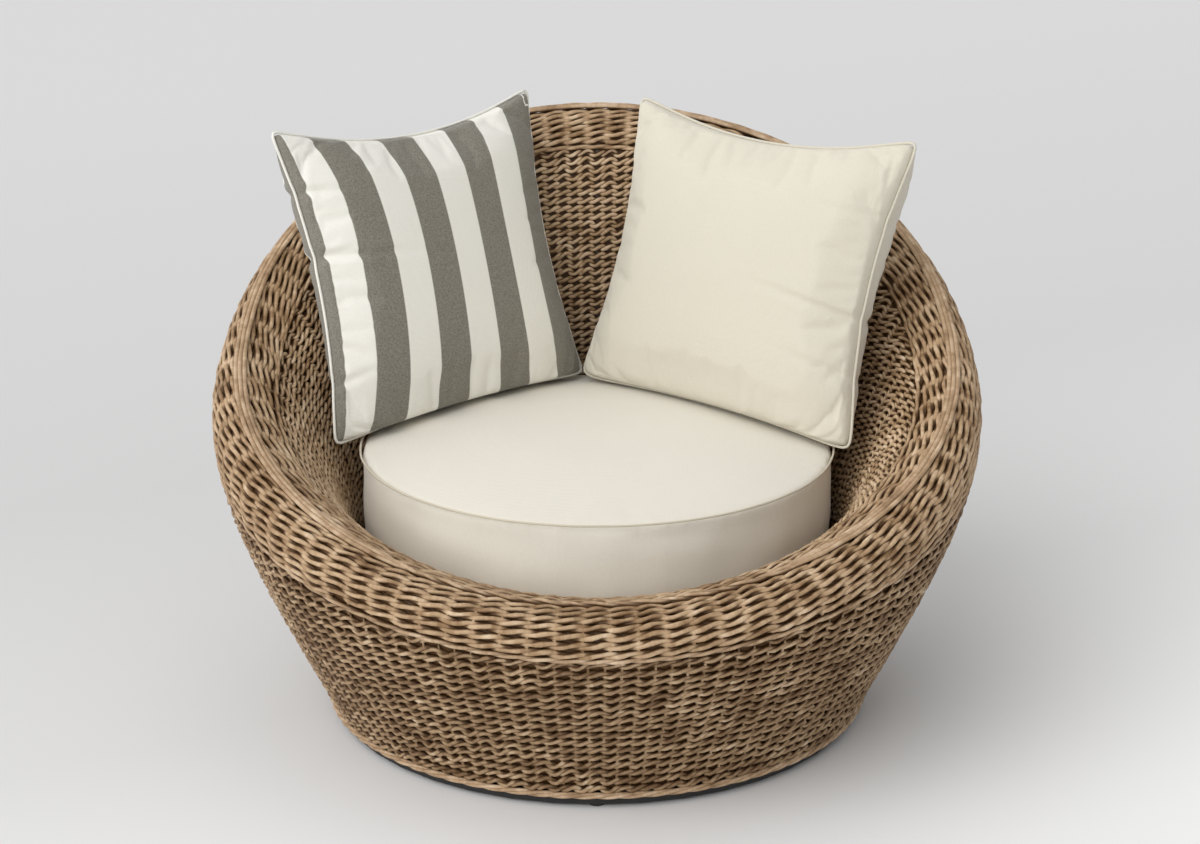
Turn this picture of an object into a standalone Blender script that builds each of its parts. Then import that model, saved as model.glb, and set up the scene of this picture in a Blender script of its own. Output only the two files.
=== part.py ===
# A round woven lounge chair that turns on a ball-bearing base, with a loose seat cushion and two pillows.
# Metres, +Z up. The origin is on the floor, on the turning axis, and the front of the chair is -Y.
# A "turn" is an angle about that axis, 0 at the front and growing towards +X.

import math

import bmesh
import bpy
from mathutils import Matrix, Vector

# Fits
FIT = 0.0003  # between pieces that touch
RUN = 0.0004  # round a piece that turns
DRILL_LENGTH = 0.1
FACETS = 40  # straight facets in every large hoop

# Base on the floor
GLIDE_COUNT = 4
GLIDE_RADIUS = 0.011
GLIDE_HEIGHT = 0.003
FLOOR_RING_RADIUS = 0.338
FLOOR_RING_WIDTH = 0.025
FLOOR_RING_HEIGHT = 0.014
FLOOR_RING_ROUNDING = 0.003
CROSS_WIDTH = 0.040
BASE_CROSS_THICKNESS = 0.006
BASE_CROSS_LIFT = 0.002

# Ball bearing
PLATE_RADIUS = 0.150
PLATE_THICKNESS = 0.0025
PLATE_FACETS = 32
BALL_RADIUS = 0.0035
BALL_STEPS = 6
BALL_COUNT = 6
TRACK_RADIUS = 0.090
CAGE_WIDTH = 0.018
CAGE_THICKNESS = 0.0016
PIN_RADIUS = 0.006
PIN_HEAD_RADIUS = 0.011
PIN_HEAD_HEIGHT = 0.004
PIN_THREAD_SPARE = 0.002
WASHER_RADIUS = 0.014
WASHER_THICKNESS = 0.0015
NUT_RADIUS = 0.0100
NUT_HEIGHT = 0.005
BOLT_COUNT = 4
BOLT_CIRCLE_RADIUS = 0.120
BOLT_RADIUS = 0.003
BOLT_HEAD_RADIUS = 0.007
BOLT_HEAD_HEIGHT = 0.0025
BOLT_HEAD_TOP_SHARE = 0.7  # of the head's radius
BOLT_END_COVER = 0.0005  # metal left past the end of a bolt

# Frame inside the woven shell
SEAT_CROSS_THICKNESS = 0.008
SEAT_CROSS_BORE_ROOM = 0.004  # round the washer
RING_TUBE_RADIUS = 0.008
BOTTOM_RING_LIFT = 0.0015  # of the tube above the woven edge
RIM_TUBE_RADIUS = 0.008
RIM_TUBE_INSET = (0.0, 0.0, 0.006)  # towards the axis from under the crest: front, sides, back
RIB_COUNT = 8
RIB_RADIUS = 0.004
POST_COUNT = 4
POST_TURN = math.radians(45)
SLAT_COUNT = 5
SLAT_WIDTH = 0.060
SLAT_THICKNESS = 0.008
SLAT_PITCH = 0.108
SLAT_TOP = 0.2045

# Woven shell. Three values in a row are at the front, at the sides and at the back.
SKIN = 0.006
EDGE_RADIUS = 0.348
EDGE_BORDER_RADIUS = 0.0045
EDGE_BORDER_BOTTOM = 0.0135
CREST_RADIUS = (0.387, 0.447, 0.408)
CREST_HEIGHT = (0.280, 0.458, 0.690)
BACK_FULLNESS = 0.025  # extra radius of the crest between the sides and the back
FLARE = (math.radians(16.4), math.radians(27.3), math.radians(14.0))
FLARE_SHARE = 0.45  # of the wall's height that leaves the edge straight
OUTER_SWELL = (0.120, 0.088, 0.062)
INNER_SWELL = (0.075, 0.065, 0.078)
OUTER_STEPS = 10
INNER_STEPS = 8
OUTER_SHOULDER_STEP = 5  # where the rim's weave starts on the outside
INNER_SHOULDER_STEP = 3  # where it ends on the inside
CREST_BUNCHING = 1.5  # over 1, the steps are closer together near the crest
COURSE_GROOVE = 0.003  # between two broad courses of the weave, one course to a step
COURSE_SHOULDER = 0.3  # share of a course from its groove to its full height
LAST_COURSE_STEP = 8  # above it the rim is plain
WELL_RADIUS = 0.3035
WELL_STRAIGHT_SHARE = 0.35
RIM_BORDER_WIDTH = 0.015
RIM_BORDER_HEIGHT = 0.005

# Seat cushion
CUSHION_RADIUS = 0.300
CUSHION_SEAM_HEIGHT = 0.342
CUSHION_CROWN = 0.018
CUSHION_EDGE_ROUNDING = 0.008
CUSHION_DRAW_IN = 0.003
CUSHION_FACETS = 36
CROWN_STEPS = 4
CROWN_POWER = 2.5
COVER_THICKNESS = 0.0015
ZIP_HEIGHT = 0.012
ZIP_FACETS = 5

# Pillows. Each has a width and a height, is swung about the upright and leans back, and is
# slid out along its turn until it meets the wall.
PILLOW_FRONT_BELLY = 0.055
PILLOW_DRAW_IN = 0.13  # of each side edge, as a share of half of the width
PILLOW_TOP_DRAW_IN = 0.19
PILLOW_BOTTOM_DRAW_IN = 0.02  # the bottom edge lies on the cushion and stays nearly straight
PILLOW_DROOP = 0.012  # the bottom corner that hangs past the cushion
PILLOW_BACK_SLIM = 0.45  # how much thinner the back is near the bottom edge, where it meets the cushion
PILLOW_FULLNESS = 0.45
PILLOW_STEPS = 12
PILLOW_WALL_GAP = 0.001
PILLOW_FIRST_REACH = 0.20
PILLOW_SETTLE_ROUNDS = 16
PIPING_RADIUS = 0.0025
PIPING_SIDES = 6
PILLOWS = {
    "pillow_left": {
        "width": 0.415,
        "height": 0.391,
        "back_belly": 0.118,  # pushed back into the round of the wall
        "outer_side": -1,
        "turn": math.radians(-127.8),
        "swing": math.radians(40.7),
        "lean": math.radians(17.3),
    },
    "pillow_right": {
        "width": 0.448,
        "height": 0.386,
        "back_belly": 0.150,
        "outer_side": 1,
        "turn": math.radians(127.1),
        "swing": math.radians(-39.8),
        "lean": math.radians(19.3),
    },
}

# Colour, roughness and metallic value of each finish
FINISHES = {
    "black_steel": ((0.015, 0.015, 0.016), 0.45, 0.6),
    "zinc": ((0.55, 0.56, 0.57), 0.35, 1.0),
    "ball_steel": ((0.75, 0.75, 0.76), 0.15, 1.0),
    "black_plastic": ((0.02, 0.02, 0.02), 0.6, 0.0),
    "brown_aluminium": ((0.09, 0.06, 0.04), 0.5, 0.7),
    "wicker": ((0.33, 0.22, 0.13), 0.6, 0.0),
    "wicker_light": ((0.45, 0.32, 0.20), 0.55, 0.0),
    "cushion_cloth": ((0.80, 0.76, 0.66), 0.9, 0.0),
    "foam": ((0.85, 0.80, 0.60), 1.0, 0.0),
    "striped_cloth": ((0.55, 0.54, 0.50), 0.9, 0.0),
    "cream_cloth": ((0.80, 0.74, 0.60), 0.9, 0.0),
}

# Heights that follow from the sizes above, from the floor up
FLOOR_RING_BOTTOM = GLIDE_HEIGHT + FIT
BASE_CROSS_BOTTOM = FLOOR_RING_BOTTOM + BASE_CROSS_LIFT
BASE_CROSS_TOP = BASE_CROSS_BOTTOM + BASE_CROSS_THICKNESS
LOWER_PLATE_BOTTOM = BASE_CROSS_TOP + FIT
LOWER_PLATE_TOP = LOWER_PLATE_BOTTOM + PLATE_THICKNESS
BALL_CENTRE = LOWER_PLATE_TOP + FIT + BALL_RADIUS
UPPER_PLATE_BOTTOM = BALL_CENTRE + BALL_RADIUS + FIT
UPPER_PLATE_TOP = UPPER_PLATE_BOTTOM + PLATE_THICKNESS
SEAT_CROSS_BOTTOM = UPPER_PLATE_TOP + FIT
SEAT_CROSS_TOP = SEAT_CROSS_BOTTOM + SEAT_CROSS_THICKNESS
EDGE_HEIGHT = EDGE_BORDER_BOTTOM + 2 * EDGE_BORDER_RADIUS + FIT
BOTTOM_RING_CENTRE = EDGE_HEIGHT + BOTTOM_RING_LIFT + RING_TUBE_RADIUS
BOTTOM_RING_RADIUS = EDGE_RADIUS - SKIN - FIT - RING_TUBE_RADIUS
SEAT_RING_TOP = SLAT_TOP - SLAT_THICKNESS - FIT
SEAT_RING_CENTRE = SEAT_RING_TOP - RING_TUBE_RADIUS
SEAT_RING_RADIUS = WELL_RADIUS + SKIN / 2
WELL_BOTTOM = SEAT_RING_TOP + FIT
CUSHION_BOTTOM = SLAT_TOP + FIT


def clear_scene():
    for item in list(bpy.data.objects):
        bpy.data.objects.remove(item, do_unlink=True)


def make_finish(name):
    colour, roughness, metallic = FINISHES[name]
    finish = bpy.data.materials.get(name)
    if finish is None:
        finish = bpy.data.materials.new(name)
        finish.use_nodes = True
        shader = finish.node_tree.nodes["Principled BSDF"]
        shader.inputs["Base Color"].default_value = (*colour, 1.0)
        shader.inputs["Roughness"].default_value = roughness
        shader.inputs["Metallic"].default_value = metallic
    return finish


def make_group(name, parent=None):
    """An empty that stands on a body's joint axis and carries its pieces."""
    group = bpy.data.objects.new(name, None)
    bpy.context.collection.objects.link(group)
    group.parent = parent
    return group


def add_mesh(name, vertices, faces, finish, group, smooth=True):
    mesh = bpy.data.meshes.new(name)
    mesh.from_pydata([tuple(v) for v in vertices], [], faces)
    shaper = bmesh.new()
    shaper.from_mesh(mesh)
    bmesh.ops.recalc_face_normals(shaper, faces=shaper.faces)
    if shaper.calc_volume(signed=True) < 0:
        bmesh.ops.reverse_faces(shaper, faces=shaper.faces)
    shaper.to_mesh(mesh)
    shaper.free()
    if smooth:
        mesh.shade_smooth()
        mesh.set_sharp_from_angle(angle=math.radians(40))
    mesh.materials.append(make_finish(finish))
    piece = bpy.data.objects.new(name, mesh)
    bpy.context.collection.objects.link(piece)
    piece.parent = group
    return piece


def at_turn(turn, radius, height):
    return Vector((radius * math.sin(turn), -radius * math.cos(turn), height))


def around(three, turn):
    """Blends front, side and back values round the chair, and meets each of them exactly."""
    front, side, back = three
    sway = ((front + back) / 2 - side) / 2
    return side + sway + (front - back) / 2 * math.cos(turn) + sway * math.cos(2 * turn)


def bezier(points, share):
    """The (radius, height) at a share of a cubic curve through its two ends."""
    rest = 1 - share
    weights = (rest**3, 3 * rest * rest * share, 3 * rest * share * share, share**3)
    return tuple(sum(w * p[axis] for w, p in zip(weights, points)) for axis in (0, 1))


def offset_line(line, distance):
    """Moves an open (radius, height) line sideways to its right by one distance, with mitred corners."""
    sides = []
    for (r0, z0), (r1, z1) in zip(line, line[1:]):
        length = math.hypot(r1 - r0, z1 - z0)
        sides.append(((z1 - z0) / length, -(r1 - r0) / length))
    moved = []
    for index, (r, z) in enumerate(line):
        before = sides[max(index - 1, 0)]
        after = sides[min(index, len(sides) - 1)]
        scale = distance / (1 + before[0] * after[0] + before[1] * after[1])
        moved.append((r + (before[0] + after[0]) * scale, z + (before[1] + after[1]) * scale))
    return moved


def crest(turn):
    """The rim's radius and height. Between the sides and the back it stands out a little further."""
    fullness = BACK_FULLNESS * math.sin(2 * turn) ** 2 if math.cos(turn) < 0 else 0.0
    return around(CREST_RADIUS, turn) + fullness, around(CREST_HEIGHT, turn)


def outer_line(turn, steps=range(OUTER_STEPS + 1)):
    """The outer face of the shell from the woven edge up to the crest, at the given steps."""
    radius, height = crest(turn)
    flare = around(FLARE, turn)
    run = FLARE_SHARE * (height - EDGE_HEIGHT)
    curve = (
        (EDGE_RADIUS, EDGE_HEIGHT),
        (EDGE_RADIUS + run * math.tan(flare), EDGE_HEIGHT + run),
        (radius + around(OUTER_SWELL, turn), height),
        (radius, height),
    )
    shares = [1 - (1 - step / OUTER_STEPS) ** CREST_BUNCHING for step in steps]
    return [bezier(curve, share) for share in shares]


def inner_line(turn):
    """The face towards the sitter, from the crest down to the bottom of the well."""
    radius, height = crest(turn)
    curve = (
        (radius, height),
        (radius - around(INNER_SWELL, turn), height),
        (WELL_RADIUS, WELL_BOTTOM + WELL_STRAIGHT_SHARE * (height - WELL_BOTTOM)),
        (WELL_RADIUS, WELL_BOTTOM),
    )
    shares = [(step / INNER_STEPS) ** CREST_BUNCHING for step in range(INNER_STEPS + 1)]
    return [bezier(curve, share) for share in shares]


def wall_line(turn):
    """The whole face of the shell, from the woven edge up, over the crest and down the well."""
    return outer_line(turn) + inner_line(turn)[1:]


def coursed_face(turn, first, last):
    """The outer face between two steps, with a shallow groove between the courses of the weave."""
    steps = [first]
    for step in range(first, last):
        if step < LAST_COURSE_STEP:
            steps += [step + COURSE_SHOULDER, step + 1 - COURSE_SHOULDER]
        steps.append(step + 1)
    line = outer_line(turn, steps)
    sunk = offset_line(line, -COURSE_GROOVE)
    grooves = range(first + 1, min(last, LAST_COURSE_STEP))
    return [deep if step in grooves else flush for step, flush, deep in zip(steps, line, sunk)]


def toward(start, end, distance):
    share = distance / math.hypot(end[0] - start[0], end[1] - start[1])
    return start[0] + (end[0] - start[0]) * share, start[1] + (end[1] - start[1]) * share


def climb(turn):
    """How steeply the crest rises round the chair, as an angle."""
    step = 0.001
    rise = around(CREST_HEIGHT, turn + step) - around(CREST_HEIGHT, turn - step)
    return math.atan2(abs(rise), 2 * step * around(CREST_RADIUS, turn))


def add_hoop(name, section, finish, group, facets=FACETS):
    """A closed hoop: section(turn) gives the same number of (radius, height) points at every turn."""
    vertices = []
    for index in range(facets):
        turn = 2 * math.pi * index / facets
        vertices += [at_turn(turn, r, z) for r, z in section(turn)]
    count = len(vertices) // facets
    faces = []
    for index in range(facets):
        here = index * count
        there = (index + 1) % facets * count
        for point in range(count):
            after = (point + 1) % count
            faces.append((here + point, here + after, there + after, there + point))
    return add_mesh(name, vertices, faces, finish, group)


def ring_section(radius, height, tube, sides=8):
    """A round tube's section whose corners stay inside its real radius."""
    angles = [2 * math.pi * side / sides for side in range(sides)]
    return [(radius + tube * math.cos(a), height + tube * math.sin(a)) for a in angles]


def add_turned(name, profile, finish, group, facets=12, place=(0, 0, 0)):
    """A turned solid: the profile runs from a point on its axis to another point on its axis."""
    low, high = profile[0], profile[-1]
    vertices = [Vector((0, 0, low[1])), Vector((0, 0, high[1]))]
    faces = []
    inner = profile[1:-1]
    for index in range(facets):
        turn = 2 * math.pi * index / facets
        vertices += [at_turn(turn, r, z) for r, z in inner]
    count = len(inner)
    for index in range(facets):
        here = 2 + index * count
        there = 2 + (index + 1) % facets * count
        faces.append((0, here, there))
        faces.append((1, there + count - 1, here + count - 1))
        for point in range(count - 1):
            faces.append((here + point, here + point + 1, there + point + 1, there + point))
    piece = add_mesh(name, vertices, faces, finish, group)
    piece.location = place
    return piece


def drill(piece, places, radius, facets=16):
    """Cuts upright round holes of one radius through a flat piece."""
    cutter_mesh = bpy.data.meshes.new(piece.name + "_holes")
    shaper = bmesh.new()
    for place in places:
        bmesh.ops.create_cone(
            shaper,
            cap_ends=True,
            segments=facets,
            radius1=radius,
            radius2=radius,
            depth=DRILL_LENGTH,
            matrix=Matrix.Translation(place),
        )
    shaper.to_mesh(cutter_mesh)
    shaper.free()
    cutter = bpy.data.objects.new(cutter_mesh.name, cutter_mesh)
    bpy.context.collection.objects.link(cutter)
    cutter.hide_render = True
    cutter.display_type = "WIRE"
    cut = piece.modifiers.new("holes_%d" % round(radius * 1e5), "BOOLEAN")
    cut.operation = "DIFFERENCE"
    cut.solver = "EXACT"
    cut.object = cutter


def bolt_places(height):
    quarter = 2 * math.pi / BOLT_COUNT
    return [at_turn(quarter * index, BOLT_CIRCLE_RADIUS, height) for index in range(BOLT_COUNT)]


def add_cross(name, reach, bottom, thickness, group):
    """Two flat bars welded into one cross, with ends that clear a round wall of radius reach."""
    half = CROSS_WIDTH / 2
    end = math.sqrt(reach * reach - half * half)
    outline = [(half, half), (half, end), (-half, end), (-half, half), (-end, half), (-end, -half)]
    outline += [(-x, -y) for x, y in outline]
    vertices = [Vector((x, y, bottom)) for x, y in outline]
    vertices += [Vector((x, y, bottom + thickness)) for x, y in outline]
    count = len(outline)
    faces = [tuple(range(count)), tuple(range(2 * count - 1, count - 1, -1))]
    for index in range(count):
        after = (index + 1) % count
        faces.append((index, after, count + after, count + index))
    return add_mesh(name, vertices, faces, "black_steel", group, smooth=False)


def add_base(group):
    rounding = FLOOR_RING_ROUNDING
    inner = FLOOR_RING_RADIUS - FLOOR_RING_WIDTH
    top = FLOOR_RING_BOTTOM + FLOOR_RING_HEIGHT
    section = [
        (inner, FLOOR_RING_BOTTOM),
        (FLOOR_RING_RADIUS, FLOOR_RING_BOTTOM),
        (FLOOR_RING_RADIUS, top - rounding),
        (FLOOR_RING_RADIUS - rounding, top),
        (inner + rounding, top),
        (inner, top - rounding),
    ]
    add_hoop("floor_ring", lambda turn: section, "black_steel", group)

    glide_circle = FLOOR_RING_RADIUS - FLOOR_RING_WIDTH / 2
    glide = [(0, 0), (GLIDE_RADIUS, 0), (GLIDE_RADIUS, GLIDE_HEIGHT), (0, GLIDE_HEIGHT)]
    for index in range(GLIDE_COUNT):
        turn = 2 * math.pi * index / GLIDE_COUNT
        name = "glide_%d" % (index + 1)
        add_turned(name, glide, "black_plastic", group, 16, at_turn(turn, glide_circle, 0))

    reach = inner * math.cos(math.pi / FACETS) - FIT
    cross = add_cross("base_cross", reach, BASE_CROSS_BOTTOM, BASE_CROSS_THICKNESS, group)
    drill(cross, [(0, 0, BASE_CROSS_TOP)], PIN_RADIUS + FIT)
    drill(cross, bolt_places(BASE_CROSS_TOP), BOLT_RADIUS + FIT, 12)


def add_bearing(base, cage_group, seat):
    def plate(name, bottom, group, bore):
        top = bottom + PLATE_THICKNESS
        rim = [(0, bottom), (PLATE_RADIUS, bottom), (PLATE_RADIUS, top), (0, top)]
        piece = add_turned(name, rim, "zinc", group, PLATE_FACETS)
        drill(piece, [(0, 0, bottom)], bore)
        drill(piece, bolt_places(bottom), BOLT_RADIUS + FIT, 12)

    plate("lower_plate", LOWER_PLATE_BOTTOM, base, PIN_RADIUS + FIT)
    plate("upper_plate", UPPER_PLATE_BOTTOM, seat, PIN_RADIUS + RUN)

    ball_places = [
        at_turn(2 * math.pi * (index + 0.5) / BALL_COUNT, TRACK_RADIUS, BALL_CENTRE)
        for index in range(BALL_COUNT)
    ]
    half = CAGE_WIDTH / 2
    low = BALL_CENTRE - CAGE_THICKNESS / 2
    high = BALL_CENTRE + CAGE_THICKNESS / 2
    band = [
        (TRACK_RADIUS - half, low),
        (TRACK_RADIUS + half, low),
        (TRACK_RADIUS + half, high),
        (TRACK_RADIUS - half, high),
    ]
    cage = add_hoop("ball_cage", lambda turn: band, "black_plastic", cage_group, PLATE_FACETS)
    drill(cage, ball_places, BALL_RADIUS + RUN, 12)
    for index, place in enumerate(ball_places):
        profile = []
        for step in range(BALL_STEPS + 1):
            angle = math.pi * step / BALL_STEPS
            profile.append((BALL_RADIUS * math.sin(angle), -BALL_RADIUS * math.cos(angle)))
        add_turned("ball_%d" % (index + 1), profile, "ball_steel", cage_group, 8, place)

    washer_bottom = UPPER_PLATE_TOP + FIT
    nut_bottom = washer_bottom + WASHER_THICKNESS + FIT
    head_top = BASE_CROSS_BOTTOM - FIT
    pin_top = nut_bottom + NUT_HEIGHT + PIN_THREAD_SPARE
    pin = [
        (0, head_top - PIN_HEAD_HEIGHT),
        (PIN_HEAD_RADIUS, head_top - PIN_HEAD_HEIGHT),
        (PIN_HEAD_RADIUS, head_top),
        (PIN_RADIUS, head_top),
        (PIN_RADIUS, pin_top),
        (0, pin_top),
    ]
    add_turned("centre_pin", pin, "zinc", base, 16)
    bore = PIN_RADIUS + FIT

    def collar(name, outer, bottom, height, facets):
        block = [(0, bottom), (outer, bottom), (outer, bottom + height), (0, bottom + height)]
        piece = add_turned(name, block, "zinc", base, facets)
        drill(piece, [(0, 0, bottom)], bore)

    collar("pin_washer", WASHER_RADIUS, washer_bottom, WASHER_THICKNESS, 16)
    collar("pin_nut", NUT_RADIUS, nut_bottom, NUT_HEIGHT, 6)


def add_bolts(name, seat_height, end_height, group):
    """Round-headed bolts whose heads sit on seat_height and whose shanks end at end_height."""
    top = seat_height + FIT + BOLT_HEAD_HEIGHT
    profile = [
        (0, end_height),
        (BOLT_RADIUS, end_height),
        (BOLT_RADIUS, seat_height + FIT),
        (BOLT_HEAD_RADIUS, seat_height + FIT),
        (BOLT_HEAD_RADIUS, top - BOLT_HEAD_HEIGHT / 2),
        (BOLT_HEAD_RADIUS * BOLT_HEAD_TOP_SHARE, top),
        (0, top),
    ]
    for index, place in enumerate(bolt_places(0)):
        add_turned("%s_%d" % (name, index + 1), profile, "zinc", group, 10, place)


def rib_line(turn):
    """The middle of a rib, from the woven edge up the wall, over the crest and down the well."""
    return offset_line(wall_line(turn), -SKIN - (FIT + RIB_RADIUS) / math.cos(climb(turn)))


def hang_under(line, radius, height, room, level):
    """The greatest height at a radius that is room away from a line; level scales upright distances."""

    def distance(z):
        nearest = room
        for (r0, z0), (r1, z1) in zip(line, line[1:]):
            start = Vector((r0, z0 * level))
            along = Vector((r1, z1 * level)) - start
            place = Vector((radius, z * level)) - start
            share = min(max(place.dot(along) / along.length_squared, 0.0), 1.0)
            nearest = min(nearest, (place - along * share).length)
        return nearest

    step = 0.0001
    while distance(height) < room:
        height -= step
    return height


def rib_end(line, ring):
    """Shortens a (radius, height) line from its start until a rib's end face clears a ring tube."""
    ring_radius, ring_height = ring
    room = RING_TUBE_RADIUS + FIT

    def clear(start, following):
        length = math.hypot(following[0] - start[0], following[1] - start[1])
        across = ((following[1] - start[1]) / length, -(following[0] - start[0]) / length)
        for share in (-1, -0.5, 0, 0.5, 1):
            r = start[0] + across[0] * share * RIB_RADIUS - ring_radius
            z = start[1] + across[1] * share * RIB_RADIUS - ring_height
            if math.hypot(r, z) < room:
                return False
        return True

    steps = 200
    for index in range(len(line) - 1):
        (r0, z0), (r1, z1) = line[index], line[index + 1]
        for step in range(steps):
            share = step / steps
            start = (r0 + (r1 - r0) * share, z0 + (z1 - z0) * share)
            if start[1] > ring_height and clear(start, (r1, z1)):
                return [start] + line[index + 1 :]
    return line


def add_tube(name, points, radius, finish, group, closed=False, sides=6):
    """A bent tube as a bevelled curve through its points."""
    curve = bpy.data.curves.new(name, "CURVE")
    curve.dimensions = "3D"
    curve.bevel_depth = radius
    curve.bevel_resolution = sides // 2 - 2
    curve.use_fill_caps = not closed
    spline = curve.splines.new("POLY")
    spline.points.add(len(points) - 1)
    for point, place in zip(spline.points, points):
        point.co = (*place, 1.0)
    spline.use_cyclic_u = closed
    spline.use_smooth = True
    curve.materials.append(make_finish(finish))
    tube = bpy.data.objects.new(name, curve)
    bpy.context.collection.objects.link(tube)
    tube.parent = group
    return tube


def add_frame(group):
    ring_inner = (BOTTOM_RING_RADIUS - RING_TUBE_RADIUS) * math.cos(math.pi / FACETS)
    cross = add_cross("seat_cross", ring_inner - FIT, SEAT_CROSS_BOTTOM, SEAT_CROSS_THICKNESS, group)
    drill(cross, [(0, 0, SEAT_CROSS_TOP)], WASHER_RADIUS + SEAT_CROSS_BORE_ROOM)
    drill(cross, bolt_places(SEAT_CROSS_TOP), BOLT_RADIUS + FIT, 12)

    bottom = ring_section(BOTTOM_RING_RADIUS, BOTTOM_RING_CENTRE, RING_TUBE_RADIUS)
    add_hoop("bottom_ring", lambda turn: bottom, "brown_aluminium", group)
    seat = ring_section(SEAT_RING_RADIUS, SEAT_RING_CENTRE, RING_TUBE_RADIUS)
    add_hoop("seat_ring", lambda turn: seat, "brown_aluminium", group)

    def rim_section(turn):
        radius, height = crest(turn)
        level = math.cos(climb(turn))
        radius -= around(RIM_TUBE_INSET, turn)
        height = hang_under(rib_line(turn), radius, height, RIM_TUBE_RADIUS + RIB_RADIUS + FIT, level)
        tube = ring_section(0, 0, RIM_TUBE_RADIUS)
        return [(radius + r, height + z / level) for r, z in tube]

    add_hoop("rim_tube", rim_section, "brown_aluminium", group)

    for index in range(RIB_COUNT):
        turn = 2 * math.pi * index / RIB_COUNT
        line = rib_end(rib_line(turn), (BOTTOM_RING_RADIUS, BOTTOM_RING_CENTRE))
        line = rib_end(line[::-1], (SEAT_RING_RADIUS, SEAT_RING_CENTRE))[::-1]
        points = [at_turn(turn, r, z) for r, z in line]
        add_tube("rib_%d" % (index + 1), points, RIB_RADIUS, "brown_aluminium", group)

    post_bottom = SEAT_CROSS_TOP + FIT
    post_top = SEAT_RING_CENTRE - RING_TUBE_RADIUS - FIT
    tube = RING_TUBE_RADIUS
    post = [(0, post_bottom), (tube, post_bottom), (tube, post_top), (0, post_top)]
    stand = SEAT_RING_RADIUS
    for index in range(POST_COUNT):
        turn = 2 * math.pi * index / POST_COUNT
        name = "seat_post_%d" % (index + 1)
        add_turned(name, post, "brown_aluminium", group, 12, at_turn(turn, stand, 0))


def add_slats(group):
    reach = WELL_RADIUS * math.cos(math.pi / FACETS) - FIT
    for index in range(SLAT_COUNT):
        middle = (index - (SLAT_COUNT - 1) / 2) * SLAT_PITCH
        far = abs(middle) + SLAT_WIDTH / 2
        half = math.sqrt(reach * reach - far * far)
        bottom = SLAT_TOP - SLAT_THICKNESS
        corners = [(-half, middle - SLAT_WIDTH / 2), (half, middle - SLAT_WIDTH / 2)]
        corners += [(half, middle + SLAT_WIDTH / 2), (-half, middle + SLAT_WIDTH / 2)]
        vertices = [Vector((x, y, bottom)) for x, y in corners]
        vertices += [Vector((x, y, SLAT_TOP)) for x, y in corners]
        faces = [(0, 1, 2, 3), (7, 6, 5, 4), (0, 1, 5, 4), (1, 2, 6, 5), (2, 3, 7, 6), (3, 0, 4, 7)]
        add_mesh("seat_slat_%d" % (index + 1), vertices, faces, "brown_aluminium", group, smooth=False)


def add_weave(group):
    end = OUTER_STEPS + INNER_STEPS

    def skin(turn, first, last):
        wall = wall_line(turn)
        back = offset_line(wall, -SKIN)
        back[end] = (back[end][0], wall[end][1])
        face, back = wall[first : last + 1], back[first : last + 1]
        if first < OUTER_STEPS:
            outside = min(last, OUTER_STEPS)
            face = coursed_face(turn, first, outside) + wall[outside + 1 : last + 1]
        if first:
            face[0] = toward(face[0], face[1], FIT)
            back[0] = toward(back[0], back[1], FIT)
        return face + back[::-1]

    rim_end = OUTER_STEPS + INNER_SHOULDER_STEP
    add_hoop("lower_weave", lambda turn: skin(turn, 0, OUTER_SHOULDER_STEP), "wicker", group)
    add_hoop("rim_weave", lambda turn: skin(turn, OUTER_SHOULDER_STEP, rim_end), "wicker", group)
    add_hoop("inner_weave", lambda turn: skin(turn, rim_end, end), "wicker", group)

    edge_centre = EDGE_BORDER_BOTTOM + EDGE_BORDER_RADIUS
    edge = ring_section(EDGE_RADIUS - SKIN / 2, edge_centre, EDGE_BORDER_RADIUS)
    add_hoop("edge_border", lambda turn: edge, "wicker_light", group)

    def rim_border(turn):
        radius, height = crest(turn)
        half = RIM_BORDER_WIDTH / 2
        seat = height + FIT
        steps = 5
        arch = [math.pi * step / steps for step in range(steps + 1)]
        return [(radius + half * math.cos(a), seat + RIM_BORDER_HEIGHT * math.sin(a)) for a in arch]

    add_hoop("rim_border", rim_border, "wicker_light", group)


def cushion_line(inset):
    """Half of the cushion's outline, from the middle of its base to the middle of its crown."""
    rounding = CUSHION_EDGE_ROUNDING - inset / 2
    bottom = CUSHION_BOTTOM + inset
    seam = CUSHION_SEAM_HEIGHT - inset
    edge = CUSHION_RADIUS - inset
    waist = edge - CUSHION_DRAW_IN
    middle = (CUSHION_BOTTOM + CUSHION_SEAM_HEIGHT) / 2
    line = [(0, bottom), (edge * 0.5, bottom), (edge - rounding, bottom), (edge, bottom + rounding)]
    line += [(waist, middle - ZIP_HEIGHT / 2), (waist, middle + ZIP_HEIGHT / 2), (edge, seam)]
    for step in range(CROWN_STEPS - 1, -1, -1):
        line.append((edge * step / CROWN_STEPS, seam + crown_rise(step)))
    return line


def crown_rise(step):
    return CUSHION_CROWN * (1 - (step / CROWN_STEPS) ** CROWN_POWER)


def cushion_top(radius):
    """The height of the crown at a distance from the axis."""
    step = radius / CUSHION_RADIUS * CROWN_STEPS
    inner = math.floor(step)
    rise = crown_rise(inner) + (crown_rise(inner + 1) - crown_rise(inner)) * (step - inner)
    return CUSHION_SEAM_HEIGHT + rise


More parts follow.
